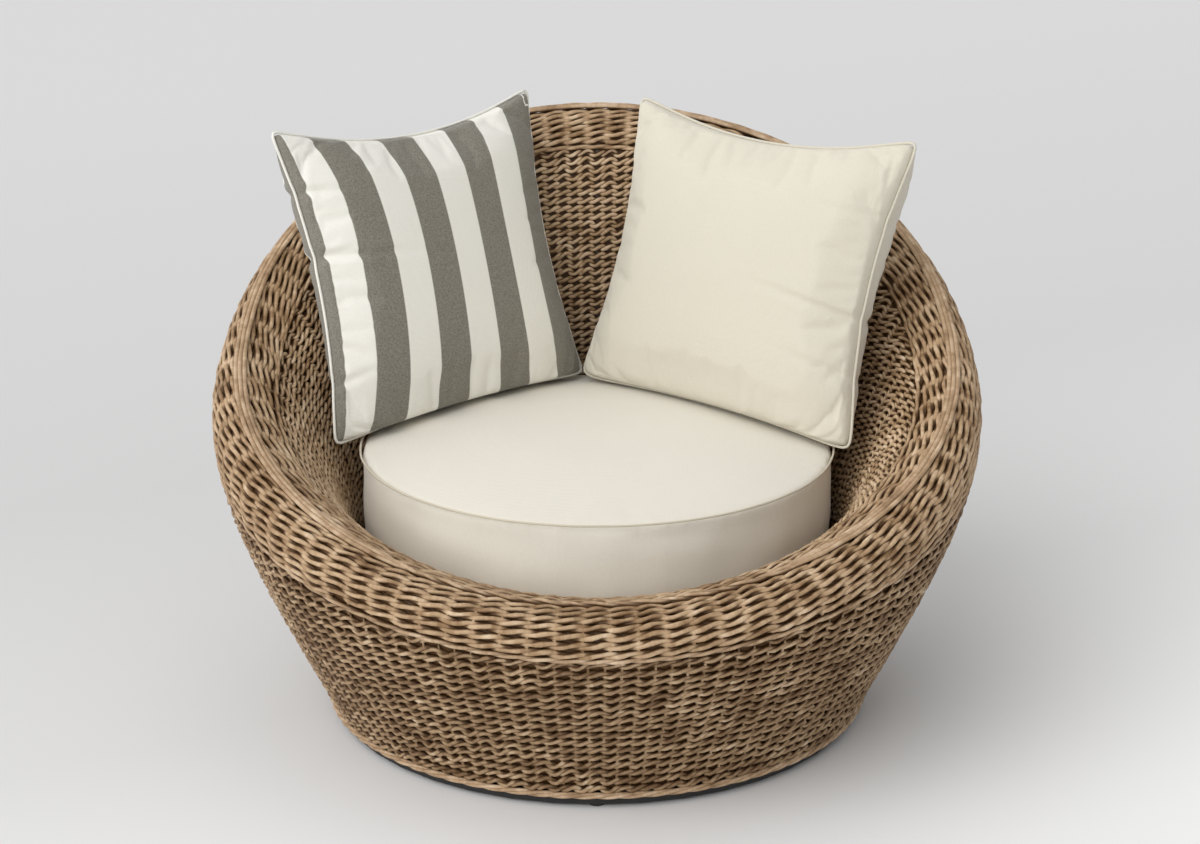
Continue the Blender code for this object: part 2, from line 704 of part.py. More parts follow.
def add_cushion(group):
    turns = [2 * math.pi * index / CUSHION_FACETS for index in range(CUSHION_FACETS)]
    zip_row = 4  # the stretch of the outline between its two waist points
    first = CUSHION_FACETS // 2 - ZIP_FACETS // 2
    window = range(first, first + ZIP_FACETS)

    outer = cushion_line(0.0)
    inner = cushion_line(COVER_THICKNESS)
    count = len(outer) - 2
    vertices = []
    faces = []
    for line in (outer, inner):
        start = len(vertices)
        vertices += [Vector((0, 0, line[0][1])), Vector((0, 0, line[-1][1]))]
        for turn in turns:
            vertices += [at_turn(turn, r, z) for r, z in line[1:-1]]
        for index in range(CUSHION_FACETS):
            here = start + 2 + index * count
            there = start + 2 + (index + 1) % CUSHION_FACETS * count
            ring = [(start, here, there), (start + 1, there + count - 1, here + count - 1)]
            for point in range(count - 1):
                if point + 1 == zip_row and index in window:
                    continue
                ring.append((here + point, here + point + 1, there + point + 1, there + point))
            faces += ring if line is outer else [face[::-1] for face in ring]
    shift = 2 + CUSHION_FACETS * count
    for index in window:
        here = 2 + index * count + zip_row - 1
        there = 2 + (index + 1) * count + zip_row - 1
        faces.append((here, there, there + shift, here + shift))
        faces.append((here + 1, here + 1 + shift, there + 1 + shift, there + 1))
    for index in (window[0], window[-1] + 1):
        here = 2 + index * count + zip_row - 1
        faces.append((here, here + 1, here + 1 + shift, here + shift))
    add_mesh("cushion_cover", vertices, faces, "cushion_cloth", group)

    foam = cushion_line(COVER_THICKNESS + FIT)
    add_turned("cushion_foam", foam, "foam", group, CUSHION_FACETS)

    middle = (CUSHION_BOTTOM + CUSHION_SEAM_HEIGHT) / 2
    low = middle - ZIP_HEIGHT / 2 + FIT
    high = middle + ZIP_HEIGHT / 2 - FIT
    outside = CUSHION_RADIUS - CUSHION_DRAW_IN
    inside = outside - COVER_THICKNESS
    end_trim = FIT / CUSHION_RADIUS * 2
    vertices = []
    for index in range(ZIP_FACETS + 1):
        turn = turns[first] + 2 * math.pi * index / CUSHION_FACETS
        if index == 0:
            turn += end_trim
        if index == ZIP_FACETS:
            turn -= end_trim
        corners = ((inside, low), (outside, low), (outside, high), (inside, high))
        vertices += [at_turn(turn, r, z) for r, z in corners]
    faces = [(0, 1, 2, 3)]
    for index in range(ZIP_FACETS):
        for corner in range(4):
            after = (corner + 1) % 4
            here, there = 4 * index, 4 * index + 4
            faces.append((here + corner, there + corner, there + after, here + after))
    last = 4 * ZIP_FACETS
    faces.append((last + 3, last + 2, last + 1, last))
    add_mesh("cushion_zip", vertices, faces, "black_plastic", group, smooth=False)


def pillow_outline(spec, u, v):
    """The in-plane place of a pillow point, drawn in between its corners."""
    level = PILLOW_BOTTOM_DRAW_IN + (PILLOW_TOP_DRAW_IN - PILLOW_BOTTOM_DRAW_IN) * (v + 1) / 2
    x = spec["width"] / 2 * u * (1 - PILLOW_DRAW_IN * (1 - v * v))
    outer = ((1 + spec["outer_side"] * u) / 2) ** 3
    low = ((1 - v) / 2) ** 2
    y = spec["height"] / 2 * v * (1 - level * (1 - u * u)) - PILLOW_DROOP * outer * low
    return x, y


def pillow_frame(spec):
    """The turned axes of a leaning pillow: across, up its face and out of its face."""
    swing, lean = spec["swing"], spec["lean"]
    across = Vector((math.cos(swing), math.sin(swing), 0))
    away = Vector((-math.sin(swing), math.cos(swing), 0))
    up = away * math.sin(lean) + Vector((0, 0, math.cos(lean)))
    return Matrix((across, up, across.cross(up))).transposed()


def wall_room(point):
    """How far a point is inside the inner face of the shell, measured level; None above the crest."""
    turn = math.atan2(point.x, -point.y)
    if point.z > crest(turn)[1] + FIT + RIM_BORDER_HEIGHT:
        return None
    line = inner_line(turn)
    limit = line[0][0] - RIM_BORDER_WIDTH / 2
    for (r0, z0), (r1, z1) in zip(line, line[1:]):
        if z1 <= point.z <= z0:
            limit = min(limit, r0 + (r1 - r0) * (point.z - z0) / (z1 - z0))
            break
    if point.z < line[-1][1]:
        limit = line[-1][0]
    return limit * math.cos(math.pi / FACETS) - math.hypot(point.x, point.y)


def place_pillow(points, spec):
    """The shift that lowers a pillow onto the cushion and slides it out to the wall behind it."""
    outward = at_turn(spec["turn"], 1.0, 0)
    reach = PILLOW_FIRST_REACH
    shift = outward * reach
    for _ in range(PILLOW_SETTLE_ROUNDS):
        lift = -10.0
        for point in points:
            place = point + shift
            radius = math.hypot(place.x, place.y)
            if radius < CUSHION_RADIUS:
                lift = max(lift, cushion_top(radius) + FIT - place.z)
        shift.z += lift
        rooms = [wall_room(point + shift) for point in points]
        room = min(r for r in rooms if r is not None)
        reach += room - PILLOW_WALL_GAP
        shift = Vector((outward.x * reach, outward.y * reach, shift.z))
    return shift


def add_pillow(name, finish, spec, group):
    steps = PILLOW_STEPS
    frame = pillow_frame(spec)
    vertices = []
    index_of = {}
    for side, belly in ((1, PILLOW_FRONT_BELLY), (-1, spec["back_belly"])):
        for row in range(steps + 1):
            for column in range(steps + 1):
                u = math.sin(math.pi / 2 * (2 * column / steps - 1))
                v = math.sin(math.pi / 2 * (2 * row / steps - 1))
                on_seam = row in (0, steps) or column in (0, steps)
                if on_seam and side == -1:
                    index_of[side, row, column] = index_of[1, row, column]
                    continue
                x, y = pillow_outline(spec, u, v)
                fullness = max((1 - u * u) * (1 - v * v), 0.0) ** PILLOW_FULLNESS
                if side == -1:
                    fullness *= 1 - PILLOW_BACK_SLIM * ((1 - v) / 2) ** 2
                depth = 0.0 if on_seam else side * belly * fullness
                index_of[side, row, column] = len(vertices)
                vertices.append(frame @ Vector((x, y, depth)))
    faces = []
    for side in (1, -1):
        for row in range(steps):
            for column in range(steps):
                face = (
                    index_of[side, row, column],
                    index_of[side, row, column + 1],
                    index_of[side, row + 1, column + 1],
                    index_of[side, row + 1, column],
                )
                faces.append(face if side == 1 else face[::-1])

    sides = [(i, 0) for i in range(steps)] + [(steps, i) for i in range(steps)]
    sides += [(steps - i, steps) for i in range(steps)] + [(0, steps - i) for i in range(steps)]
    seam = []
    for column, row in sides:
        u = math.sin(math.pi / 2 * (2 * column / steps - 1))
        v = math.sin(math.pi / 2 * (2 * row / steps - 1))
        seam.append(Vector((*pillow_outline(spec, u, v), 0)))
    piping = []
    for index, point in enumerate(seam):
        before = (point - seam[index - 1]).normalized()
        after = (seam[(index + 1) % len(seam)] - point).normalized()
        out = Vector((before.y + after.y, -before.x - after.x, 0)) / (1 + before.dot(after))
        piping.append(frame @ (point + out * (PIPING_RADIUS + FIT)))

    lowest = [point - Vector((0, 0, PIPING_RADIUS)) for point in piping]
    shift = place_pillow(vertices + lowest + piping, spec)
    pillow = add_mesh(name, vertices, faces, finish, group)
    pillow.location = shift
    cord = add_tube(name + "_piping", piping, PIPING_RADIUS, "cream_cloth", group, closed=True)
    cord.location = shift


clear_scene()
base = make_group("base_axis")
cage = make_group("cage_axis", base)
seat = make_group("seat_axis", base)
cushion = make_group("cushion_axis", seat)
add_base(base)
add_bearing(base, cage, seat)
add_bolts("base_bolt", LOWER_PLATE_TOP, BASE_CROSS_BOTTOM + BOLT_END_COVER, base)
add_bolts("seat_bolt", SEAT_CROSS_TOP, UPPER_PLATE_BOTTOM + BOLT_END_COVER, seat)
add_frame(seat)
add_slats(seat)
add_weave(seat)
add_cushion(cushion)
add_pillow("pillow_left", "striped_cloth", PILLOWS["pillow_left"], cushion)
add_pillow("pillow_right", "cream_cloth", PILLOWS["pillow_right"], cushion)
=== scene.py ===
import math
import random

import bpy
import numpy as np
from mathutils import Matrix, Vector


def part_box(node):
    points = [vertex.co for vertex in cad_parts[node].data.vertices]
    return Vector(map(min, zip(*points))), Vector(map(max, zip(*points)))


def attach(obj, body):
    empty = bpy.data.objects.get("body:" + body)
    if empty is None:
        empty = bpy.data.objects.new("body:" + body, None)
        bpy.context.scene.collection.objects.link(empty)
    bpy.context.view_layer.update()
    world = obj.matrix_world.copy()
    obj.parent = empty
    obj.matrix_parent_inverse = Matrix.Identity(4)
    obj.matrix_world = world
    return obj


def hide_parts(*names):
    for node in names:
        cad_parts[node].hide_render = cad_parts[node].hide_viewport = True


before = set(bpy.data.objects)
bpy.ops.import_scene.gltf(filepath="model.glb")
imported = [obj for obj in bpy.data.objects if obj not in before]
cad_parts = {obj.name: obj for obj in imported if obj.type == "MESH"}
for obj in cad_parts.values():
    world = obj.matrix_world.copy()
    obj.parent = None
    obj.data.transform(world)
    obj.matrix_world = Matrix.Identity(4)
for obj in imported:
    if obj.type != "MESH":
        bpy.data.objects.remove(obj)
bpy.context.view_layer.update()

# Round woven lounge chair on a turning base, with a round seat cushion and two pillows.
# A turn is an angle about the upright axis, 0 at the front and growing towards +X.

scene = bpy.context.scene
dice = random.Random(11)


# materials

def newMaterial(name, colour, roughness, metallic=0.0, specular=0.5):
    material = bpy.data.materials.new(name)
    material.use_nodes = True
    shader = material.node_tree.nodes["Principled BSDF"]
    shader.inputs["Base Color"].default_value = (*colour, 1)
    shader.inputs["Roughness"].default_value = roughness
    shader.inputs["Metallic"].default_value = metallic
    shader.inputs["Specular IOR Level"].default_value = specular
    return material, material.node_tree, shader


def addNode(tree, kind, inputs=None, **settings):
    node = tree.nodes.new(kind)
    for key, value in settings.items():
        setattr(node, key, value)
    for key, value in (inputs or {}).items():
        if isinstance(value, bpy.types.NodeSocket):
            tree.links.new(value, node.inputs[key])
        else:
            node.inputs[key].default_value = value
    return node


def mathNode(tree, operation, first, second=0.0, third=0.0):
    inputs = {0: first, 1: second, 2: third}
    return addNode(tree, "ShaderNodeMath", inputs, operation=operation).outputs[0]


def colourRamp(tree, factor, stops):
    ramp = addNode(tree, "ShaderNodeValToRGB", {"Fac": factor})
    while len(ramp.color_ramp.elements) < len(stops):
        ramp.color_ramp.elements.new(0.5)
    for element, (place, colour) in zip(ramp.color_ramp.elements, stops):
        element.position = place
        element.color = (*colour, 1)
    return ramp.outputs["Color"]


def fromScreen(red, green, blue):
    # a colour as seen on a screen, 0 to 255, turned into the values that light works with
    def channel(value):
        value /= 255
        return value / 12.92 if value <= 0.04045 else ((value + 0.055) / 1.055) ** 2.4
    return channel(red), channel(green), channel(blue)


def objectPlace(tree):
    return addNode(tree, "ShaderNodeTexCoord").outputs["Object"]


def noiseNode(tree, place, scale, detail, roughness=0.5):
    inputs = {"Vector": place, "Scale": scale, "Detail": detail, "Roughness": roughness}
    return addNode(tree, "ShaderNodeTexNoise", inputs).outputs["Fac"]


def attributeNode(tree, name):
    return addNode(tree, "ShaderNodeAttribute", attribute_name=name).outputs["Fac"]


def mixColours(tree, factor, first, second):
    inputs = {"Factor": factor, "A": first, "B": (*second, 1)}
    return addNode(tree, "ShaderNodeMix", inputs, data_type="RGBA").outputs["Result"]


def roughnessFrom(tree, shader, value, least, most):
    gloss = addNode(tree, "ShaderNodeMapRange", {"Value": value, "To Min": least, "To Max": most})
    tree.links.new(gloss.outputs["Result"], shader.inputs["Roughness"])


def bumpFrom(tree, shader, height, look):
    strength, distance = look["bump"]
    bump = addNode(tree, "ShaderNodeBump", {"Strength": strength, "Distance": distance, "Height": height})
    tree.links.new(bump.outputs["Normal"], shader.inputs["Normal"])


strandLook = {
    "streak": 38.0,  # how fast the tone changes along a strand
    "apart": 90.0,  # how much one strand's tone has to do with the next one's
    "patchScale": 19.0,
    "patchFlat": 2.4,  # patches are wider than they are high
    "grainScale": 620.0,
    "roughness": (0.42, 0.68),
    "bump": (0.35, 0.0006),
}


def strandMaterial(name, tones, patchiness):
    # resin strand: the tone drifts along each strand and in patches, and painted shade darkens it between
    # the rows, the deeper it lies
    stops = [(share, fromScreen(*colour)) for share, *colour in wickerTones[tones]]
    material, tree, shader = newMaterial(name, stops[1][1], 0.5, specular=0.3)
    place = objectPlace(tree)
    streak = addNode(tree, "ShaderNodeCombineXYZ", {
        "X": mathNode(tree, "MULTIPLY", attributeNode(tree, "along"), strandLook["streak"]),
        "Y": mathNode(tree, "MULTIPLY", attributeNode(tree, "tone"), strandLook["apart"]),
    }).outputs[0]
    drift = noiseNode(tree, streak, 1.0, 4.0, 0.65)
    squash = (1.0, 1.0, strandLook["patchFlat"])
    flat = addNode(tree, "ShaderNodeVectorMath", {0: place, 1: squash}, operation="MULTIPLY").outputs[0]
    patches = noiseNode(tree, flat, strandLook["patchScale"], 3.0, 0.7)
    mixed = mathNode(tree, "MULTIPLY", drift, 1 - patchiness)
    mixed = mathNode(tree, "MULTIPLY_ADD", patches, patchiness, mixed)
    # painted shade: the deeper a point of a strand lies, and more so in some patches, the more it takes the
    # crevice shade colour
    sunk = mathNode(tree, "MULTIPLY_ADD", patches, -paintedCreviceShade["patches"], attributeNode(tree, "sunk"))
    dark = addNode(tree, "ShaderNodeMapRange", {
        "Value": sunk,
        "From Min": paintedCreviceShade["start"] - paintedCreviceShade["patches"] / 2,
        "From Max": paintedCreviceShade["end"] - paintedCreviceShade["patches"] / 2,
    }, interpolation_type="SMOOTHSTEP").outputs["Result"]
    colour = mixColours(tree, dark, colourRamp(tree, mixed, stops), paintedCreviceShade["colour"])
    tree.links.new(colour, shader.inputs["Base Color"])
    roughnessFrom(tree, shader, drift, *strandLook["roughness"])
    bumpFrom(tree, shader, noiseNode(tree, place, strandLook["grainScale"], 2.0), strandLook)
    return material


clothLook = {
    "sheen": (0.25, 0.5),  # its weight and roughness
    "slubScale": 260.0,
    "slubHeight": 4.0,  # against the height of a thread
    "mottle": (420.0, 0.14),  # its scale and how much it lightens
    "shade": (7.0, 0.05),
    "darkest": 0.905,
    "bump": (0.25, 0.00022),
}


def clothMaterial(name, colour, threadPitch, stripes=None):
    # plain weave cloth: crossing threads, a little mottling, and a soft sheen
    material, tree, shader = newMaterial(name, colour, 0.92, specular=0.15)
    for key, value in zip(("Sheen Weight", "Sheen Roughness"), clothLook["sheen"]):
        shader.inputs[key].default_value = value
    place = objectPlace(tree)
    parts = addNode(tree, "ShaderNodeSeparateXYZ", {"Vector": place}).outputs
    beat = 2 * math.pi / threadPitch
    height = None
    for axis in range(3):
        wave = mathNode(tree, "SINE", mathNode(tree, "MULTIPLY", parts[axis], beat))
        height = wave if height is None else mathNode(tree, "ADD", height, wave)
    slub = noiseNode(tree, place, clothLook["slubScale"], 4.0, 0.7)
    height = mathNode(tree, "MULTIPLY_ADD", slub, clothLook["slubHeight"], height)
    bumpFrom(tree, shader, height, clothLook)
    mottleScale, mottle = clothLook["mottle"]
    shadeScale, soft = clothLook["shade"]
    wide = noiseNode(tree, place, shadeScale, 2.0)
    fine = noiseNode(tree, place, mottleScale, 3.0, 0.8)
    shade = mathNode(tree, "MULTIPLY_ADD", wide, soft, clothLook["darkest"])
    shade = mathNode(tree, "MULTIPLY_ADD", fine, mottle, shade)
    cloth = stripes(tree, colour) if stripes else colour
    tinted = addNode(tree, "ShaderNodeVectorMath", {0: cloth, "Scale": shade}, operation="SCALE")
    tree.links.new(tinted.outputs[0], shader.inputs["Base Color"])
    return material


coatLook = {
    "peelScale": 900.0,
    "wearScale": 35.0,
    "roughness": (0.75, 1.3),  # least and most, as shares
    "tone": (0.8, 1.2),
    "bump": (0.2, 0.0002),
}


def coatMaterial(name, colour, roughness, metallic):
    # powder coat or plate: fine orange peel, and roughness that wanders
    material, tree, shader = newMaterial(name, colour, roughness, metallic)
    place = objectPlace(tree)
    wear = noiseNode(tree, place, coatLook["wearScale"], 4.0)
    least, most = (min(roughness * share, 1) for share in coatLook["roughness"])
    roughnessFrom(tree, shader, wear, least, most)
    low, high = ([min(value * share, 1) for value in colour] for share in coatLook["tone"])
    tree.links.new(colourRamp(tree, wear, [(0.3, low), (0.7, high)]), shader.inputs["Base Color"])
    bumpFrom(tree, shader, noiseNode(tree, place, coatLook["peelScale"], 2.0), coatLook)
    return material


# the strands' tones from the darkest to the lightest, each with its place from 0 to 1 and its colour
wickerTones = {
    "rim": ((0.30, 98, 68, 38), (0.42, 150, 119, 85), (0.55, 193, 164, 130), (0.68, 226, 203, 173)),
    # painted shade: the lower wall's and fine stakes' tones are the rim's, darkened
    "low": ((0.30, 76, 50, 26), (0.42, 124, 96, 66), (0.55, 170, 142, 109), (0.69, 224, 201, 171)),
    # painted light: the inside's tones are the rim's, lightened
    "inner": ((0.30, 114, 84, 52), (0.42, 166, 136, 101), (0.55, 206, 178, 145), (0.68, 232, 211, 183)),
    "light": ((0.30, 124, 95, 66), (0.50, 180, 151, 119), (0.70, 222, 198, 169)),
    # tones of the sheet of painted shade, which its shade depth covers over with the crevice shade colour
    "shadeSheetTones": ((0.35, 34, 22, 12), (0.65, 58, 40, 24)),
}
# painted shade: depth under the woven surface, in millimetres, over which a strand is painted dark towards
# the crevice shade colour
paintedCreviceShade = {"start": 0.5, "end": 3.4, "patches": 2.6, "colour": fromScreen(84, 58, 32)}
finish = {
    "wicker": strandMaterial("wicker_strand", "rim", 0.45),
    "wickerLowPaintedShade": strandMaterial("wicker_low_painted_shade_strand", "low", 0.50),
    "wickerInnerPaintedLight": strandMaterial("wicker_inner_painted_light_strand", "inner", 0.35),
    "wickerLight": strandMaterial("wicker_light_strand", "light", 0.3),
    "shadeSheet": strandMaterial("wicker_shade_sheet", "shadeSheetTones", 0.5),
    "blackSteel": coatMaterial("black_powder_coat", (0.016, 0.016, 0.017), 0.5, 0.0),
    "brownCoat": coatMaterial("brown_powder_coat", (0.09, 0.06, 0.04), 0.5, 0.0),
    "zinc": coatMaterial("zinc_plate", (0.55, 0.56, 0.57), 0.35, 1.0),
    "ballSteel": coatMaterial("ball_steel", (0.75, 0.75, 0.76), 0.15, 1.0),
    "blackPlastic": coatMaterial("black_nylon", (0.02, 0.02, 0.02), 0.6, 0.0),
}


# mesh helpers

def newObject(name, data):
    item = bpy.data.objects.new(name, data)
    scene.collection.objects.link(item)
    return item


def meshPiece(name, vertices, faces, material, attributes=None, smooth=True):
    # faces is an array with one row of corners for each face
    mesh = bpy.data.meshes.new(name)
    vertices = np.asarray(vertices, dtype=np.float32)
    faces = np.asarray(faces, dtype=np.int32)
    mesh.vertices.add(len(vertices))
    mesh.vertices.foreach_set("co", vertices.ravel())
    mesh.loops.add(faces.size)
    mesh.loops.foreach_set("vertex_index", faces.ravel())
    mesh.polygons.add(len(faces))
    mesh.polygons.foreach_set("loop_start", np.arange(0, faces.size, faces.shape[1], dtype=np.int32))
    mesh.update(calc_edges=True)
    mesh.polygons.foreach_set("use_smooth", np.full(len(faces), smooth))
    for key, values in (attributes or {}).items():
        layer = mesh.attributes.new(key, "FLOAT", "POINT")
        layer.data.foreach_set("value", np.asarray(values, dtype=np.float32))
    mesh.validate()
    mesh.materials.append(material)
    return newObject(name, mesh)


def softPiece(name, vertices, faces):
    # a bare cover, which is filled and gets its cloth later
    mesh = bpy.data.meshes.new(name)
    mesh.from_pydata(vertices, [], faces)
    return newObject(name, mesh)


def placesOf(mesh):
    places = np.empty(len(mesh.vertices) * 3)
    mesh.vertices.foreach_get("co", places)
    return places.reshape(-1, 3)


def unit(vectors):
    return vectors / np.maximum(np.linalg.norm(vectors, axis=-1, keepdims=True), 1e-12)


def evenTurns(count):
    return 2 * math.pi * np.arange(count) / count


def gridFaces(rows, columns, rowsClose, columnsClose):
    # four-cornered faces between the points of a grid, which may close round on itself
    row = np.arange(rows if rowsClose else rows - 1)[:, None]
    column = np.arange(columns if columnsClose else columns - 1)[None]
    here, there = row * columns, (row + 1) % rows * columns
    after = (column + 1) % columns
    return np.stack([here + column, there + column, there + after, here + after], -1).reshape(-1, 4)


def outward(turns):
    # level, and away from the upright axis
    return np.stack([np.sin(turns), -np.cos(turns), np.zeros(len(turns))], -1)


def strand(centres, normals, radius, closed, tone=None, depth=0.0):
    # the depth sets the strand's painted shade; mostly it is how far the middle of the strand lies under the
    # woven surface
    tone = dice.random() if tone is None else tone
    return {
        "centres": centres, "normals": normals, "closed": closed,
        "radius": radius, "tone": tone, "depth": depth,
    }


def strandPiece(name, strands, material, sides=6):
    # sweeps a round section along every strand, and keeps its tone and length for its colour and its depth
    # for its painted shade
    angles = evenTurns(sides)
    vertices, faces = [], []
    attributes = {"tone": [], "along": [], "sunk": []}
    used = 0
    for item in strands:
        centres, closed = item["centres"], item["closed"]
        count = len(centres)
        if closed:
            heading = np.roll(centres, -1, 0) - np.roll(centres, 1, 0)
        else:
            heading = np.gradient(centres, axis=0)
        heading = unit(heading)
        side = unit(np.cross(heading, item["normals"]))
        out = np.cross(side, heading)
        radius = np.full(count, item["radius"]) if np.isscalar(item["radius"]) else item["radius"].copy()
        if not closed:
            radius[[0, -1]] *= 0.15
        ring = np.cos(angles)[None, :, None] * side[:, None] + np.sin(angles)[None, :, None] * out[:, None]
        vertices.append((centres[:, None] + ring * radius[:, None, None]).reshape(-1, 3))
        faces.append(gridFaces(count, sides, closed, True) + used)
        used += count * sides
        steps = np.linalg.norm(np.diff(centres, axis=0), axis=1)
        length = np.concatenate([[0], np.cumsum(steps)])
        depth = np.broadcast_to(item["depth"], (count,))
        attributes["tone"].append(np.full(count * sides, item["tone"]))
        attributes["along"].append(np.repeat(length, sides))
        # painted shade: the sides and back of each strand lie deeper and are painted darker
        attributes["sunk"].append((depth[:, None] - radius[:, None] * np.sin(angles)[None]).ravel() * 1000)
    attributes = {key: np.concatenate(values) for key, values in attributes.items()}
    return meshPiece(name, np.concatenate(vertices), np.concatenate(faces), material, attributes)


def waver(turns, slowest, fastest, waves=4):
    # a smooth closed wander between about -1 and 1
    total = np.zeros(len(turns))
    for _ in range(waves):
        total += np.sin(dice.randint(slowest, fastest) * turns + dice.uniform(0, 2 * math.pi))
    return total / waves


def bell(values, width):
    # 1 where the value is nought, and falling to nothing within about two widths
    return np.exp(-(values / width) ** 2)


def waveSum(waves, turns, height):
    # each wave has its number round the turn, its shift with height, its start and its size
    return sum(size * np.sin(times * turns + climb * height + start) for times, climb, start, size in waves)


# the shell's surface

shell = {
    # three values in a row are at the front, at the sides and at the back
    "edge": (0.348, 0.0228),  # radius and height
    "crestRadius": (0.387, 0.447, 0.408),
    "crestHeight": (0.280, 0.458, 0.690),
    "backFullness": 0.025,
    "flare": (16.4, 27.3, 14.0),  # degrees
    "flareShare": 0.45,
    "outerSwell": (0.120, 0.088, 0.062),
    "innerSwell": (0.075, 0.065, 0.078),
    "well": (0.3035, 0.1965),
    "wellStraightShare": 0.35,
    "outerShoulder": 0.625,  # share of the outer curve where the rim's weave starts
    "innerShoulder": 0.230,  # share of the inner curve where it ends
}


def around(three, turns):
    front, side, back = three
    sway = ((front + back) / 2 - side) / 2
    return side + sway + (front - back) / 2 * np.cos(turns) + sway * np.cos(2 * turns)


def meridians(turns, corners, samples=240):
    # lines of even spacing along a cubic curve, one for each turn: places, facing and length
    shares = np.linspace(0, 1, samples)
    rest = 1 - shares
    weights = (rest**3, 3 * rest**2 * shares, 3 * rest * shares**2, shares**3)
    line = np.zeros((len(turns), samples, 2))
    for weight, corner in zip(weights, corners):
        point = np.stack([np.broadcast_to(value, turns.shape) for value in corner], -1)
        line += weight[None, :, None] * point[:, None]
    steps = np.linalg.norm(np.diff(line, axis=1), axis=2)
    reached = np.concatenate([np.zeros((len(turns), 1)), np.cumsum(steps, axis=1)], axis=1)
    even = np.empty_like(line)
    for row in range(len(turns)):
        targets = np.linspace(0, reached[row, -1], samples)
        for part in (0, 1):
            even[row, :, part] = np.interp(targets, reached[row], line[row, :, part])
    heading = unit(np.gradient(even, axis=1))
    facing = np.stack([heading[..., 1], -heading[..., 0]], -1)
    return {"turns": turns, "line": even, "facing": facing, "length": reached[:, -1], "reached": reached}


def wallAt(count):
    turns = evenTurns(count)
    fullness = shell["backFullness"] * np.sin(2 * turns) ** 2 * (np.cos(turns) < 0)
    crestRadius = around(shell["crestRadius"], turns) + fullness
    crestHeight = around(shell["crestHeight"], turns)
    edge, well = shell["edge"], shell["well"]
    run = shell["flareShare"] * (crestHeight - edge[1])
    flare = np.tan(np.radians(around(shell["flare"], turns)))
    outer = meridians(turns, [
        edge,
        (edge[0] + run * flare, edge[1] + run),
        (crestRadius + around(shell["outerSwell"], turns), crestHeight),
        (crestRadius, crestHeight),
    ])
    straight = shell["wellStraightShare"] * (crestHeight - well[1])
    inner = meridians(turns, [
        (crestRadius, crestHeight),
        (crestRadius - around(shell["innerSwell"], turns), crestHeight),
        (well[0], well[1] + straight),
        well,
    ])
    for side, share in ((outer, shell["outerShoulder"]), (inner, shell["innerShoulder"])):
        samples = side["reached"].shape[1]
        side["shoulder"] = side["reached"][:, round(share * (samples - 1))]
    return outer, inner


def onWall(side, columns, distance, depth=0.0):
    # points at a distance along each column's line and a depth under it, and which way they face
    samples = side["line"].shape[1]
    place = np.clip(distance / side["length"][columns], 0, 1) * (samples - 1)
    low = np.minimum(place.astype(int), samples - 2)
    part = (place - low)[:, None]
    line, facing = (side[key][columns, low] * (1 - part) + side[key][columns, low + 1] * part
                    for key in ("line", "facing"))
    facing = unit(facing)
    line = line - facing * np.reshape(depth, (-1, 1))
    across = outward(side["turns"][columns])[:, :2]
    return [np.concatenate([across * flat[:, :1], flat[:, 1:]], 1) for flat in (line, facing)]


# the weave

weave = {
    # fine weave on the lower wall and inside, where rows dip under the shoulder, broad weave over the rim
    "fine": {
        "stakes": 140, "samples": 6, "radius": 0.0027, "sway": 0.0015, "twist": 0.0027, "sag": 0.0034,
        # postShade is the depth that sets the stakes' painted shade
        "post": 0.0021, "postDepth": 0.0050, "postShade": 0.0031, "dip": 0.0013,
    },
    "broad": {
        "stakes": 86, "samples": 6, "radius": 0.0034, "sway": 0.0017, "twist": 0.0025, "sag": 0.0024,
        "post": 0.0032, "postDepth": 0.0062, "postShade": 0.0036, "dip": 0.0,
    },
    "lowerPitch": 0.0134,  # at the front
    "lowerSpread": 0.24,  # how much the rows fan out where the wall is taller
    "innerPitch": 0.0108,  # at the back
    "innerSpread": 0.25,
    "rimPitch": 0.0096,  # at the sides and the back
    "rimOpening": 0.24,  # how much wider apart the rows lie at the front
    "firstRow": 0.24,
    "lastRow": 0.30,
    "drift": 0.0008,  # how far a row wanders
    "thickness": 0.22,  # how much a strand's thickness wanders, as a share
    "depthWander": 0.0006,
    "liftWander": 0.0003,
    "pairTone": 0.07,  # between the two strands of a row
    "patches": ((5, 40, 1.3, 1), (11, -63, 4.1, 1), (17, 95, 0.7, 1)),  # waves of more or less sag
    "postSteps": 16,
    "postInset": 0.001,
    "dipReach": 0.016,
    # painted shade: a strand is painted darker where it passes behind a stake
    "shadeBehind": 2.4,  # how fast a strand darkens where it passes behind a stake
}


def rowSpans(present):
    # the columns that a row covers: all of them, or one run through the back
    count = len(present)
    if present.all():
        return np.arange(count), True
    if not present.any():
        return None, False
    first = int(np.argmax(present))
    return np.arange(first, count - first + 1), False


def ripple(turns, distance, stake, sag):
    # rows dip and rise over every other stake, more in some patches than in others
    patch = waveSum(weave["patches"], turns, distance)
    return sag * np.clip(0.4 + patch / 2.5, 0, 1) * np.cos(math.pi * stake)


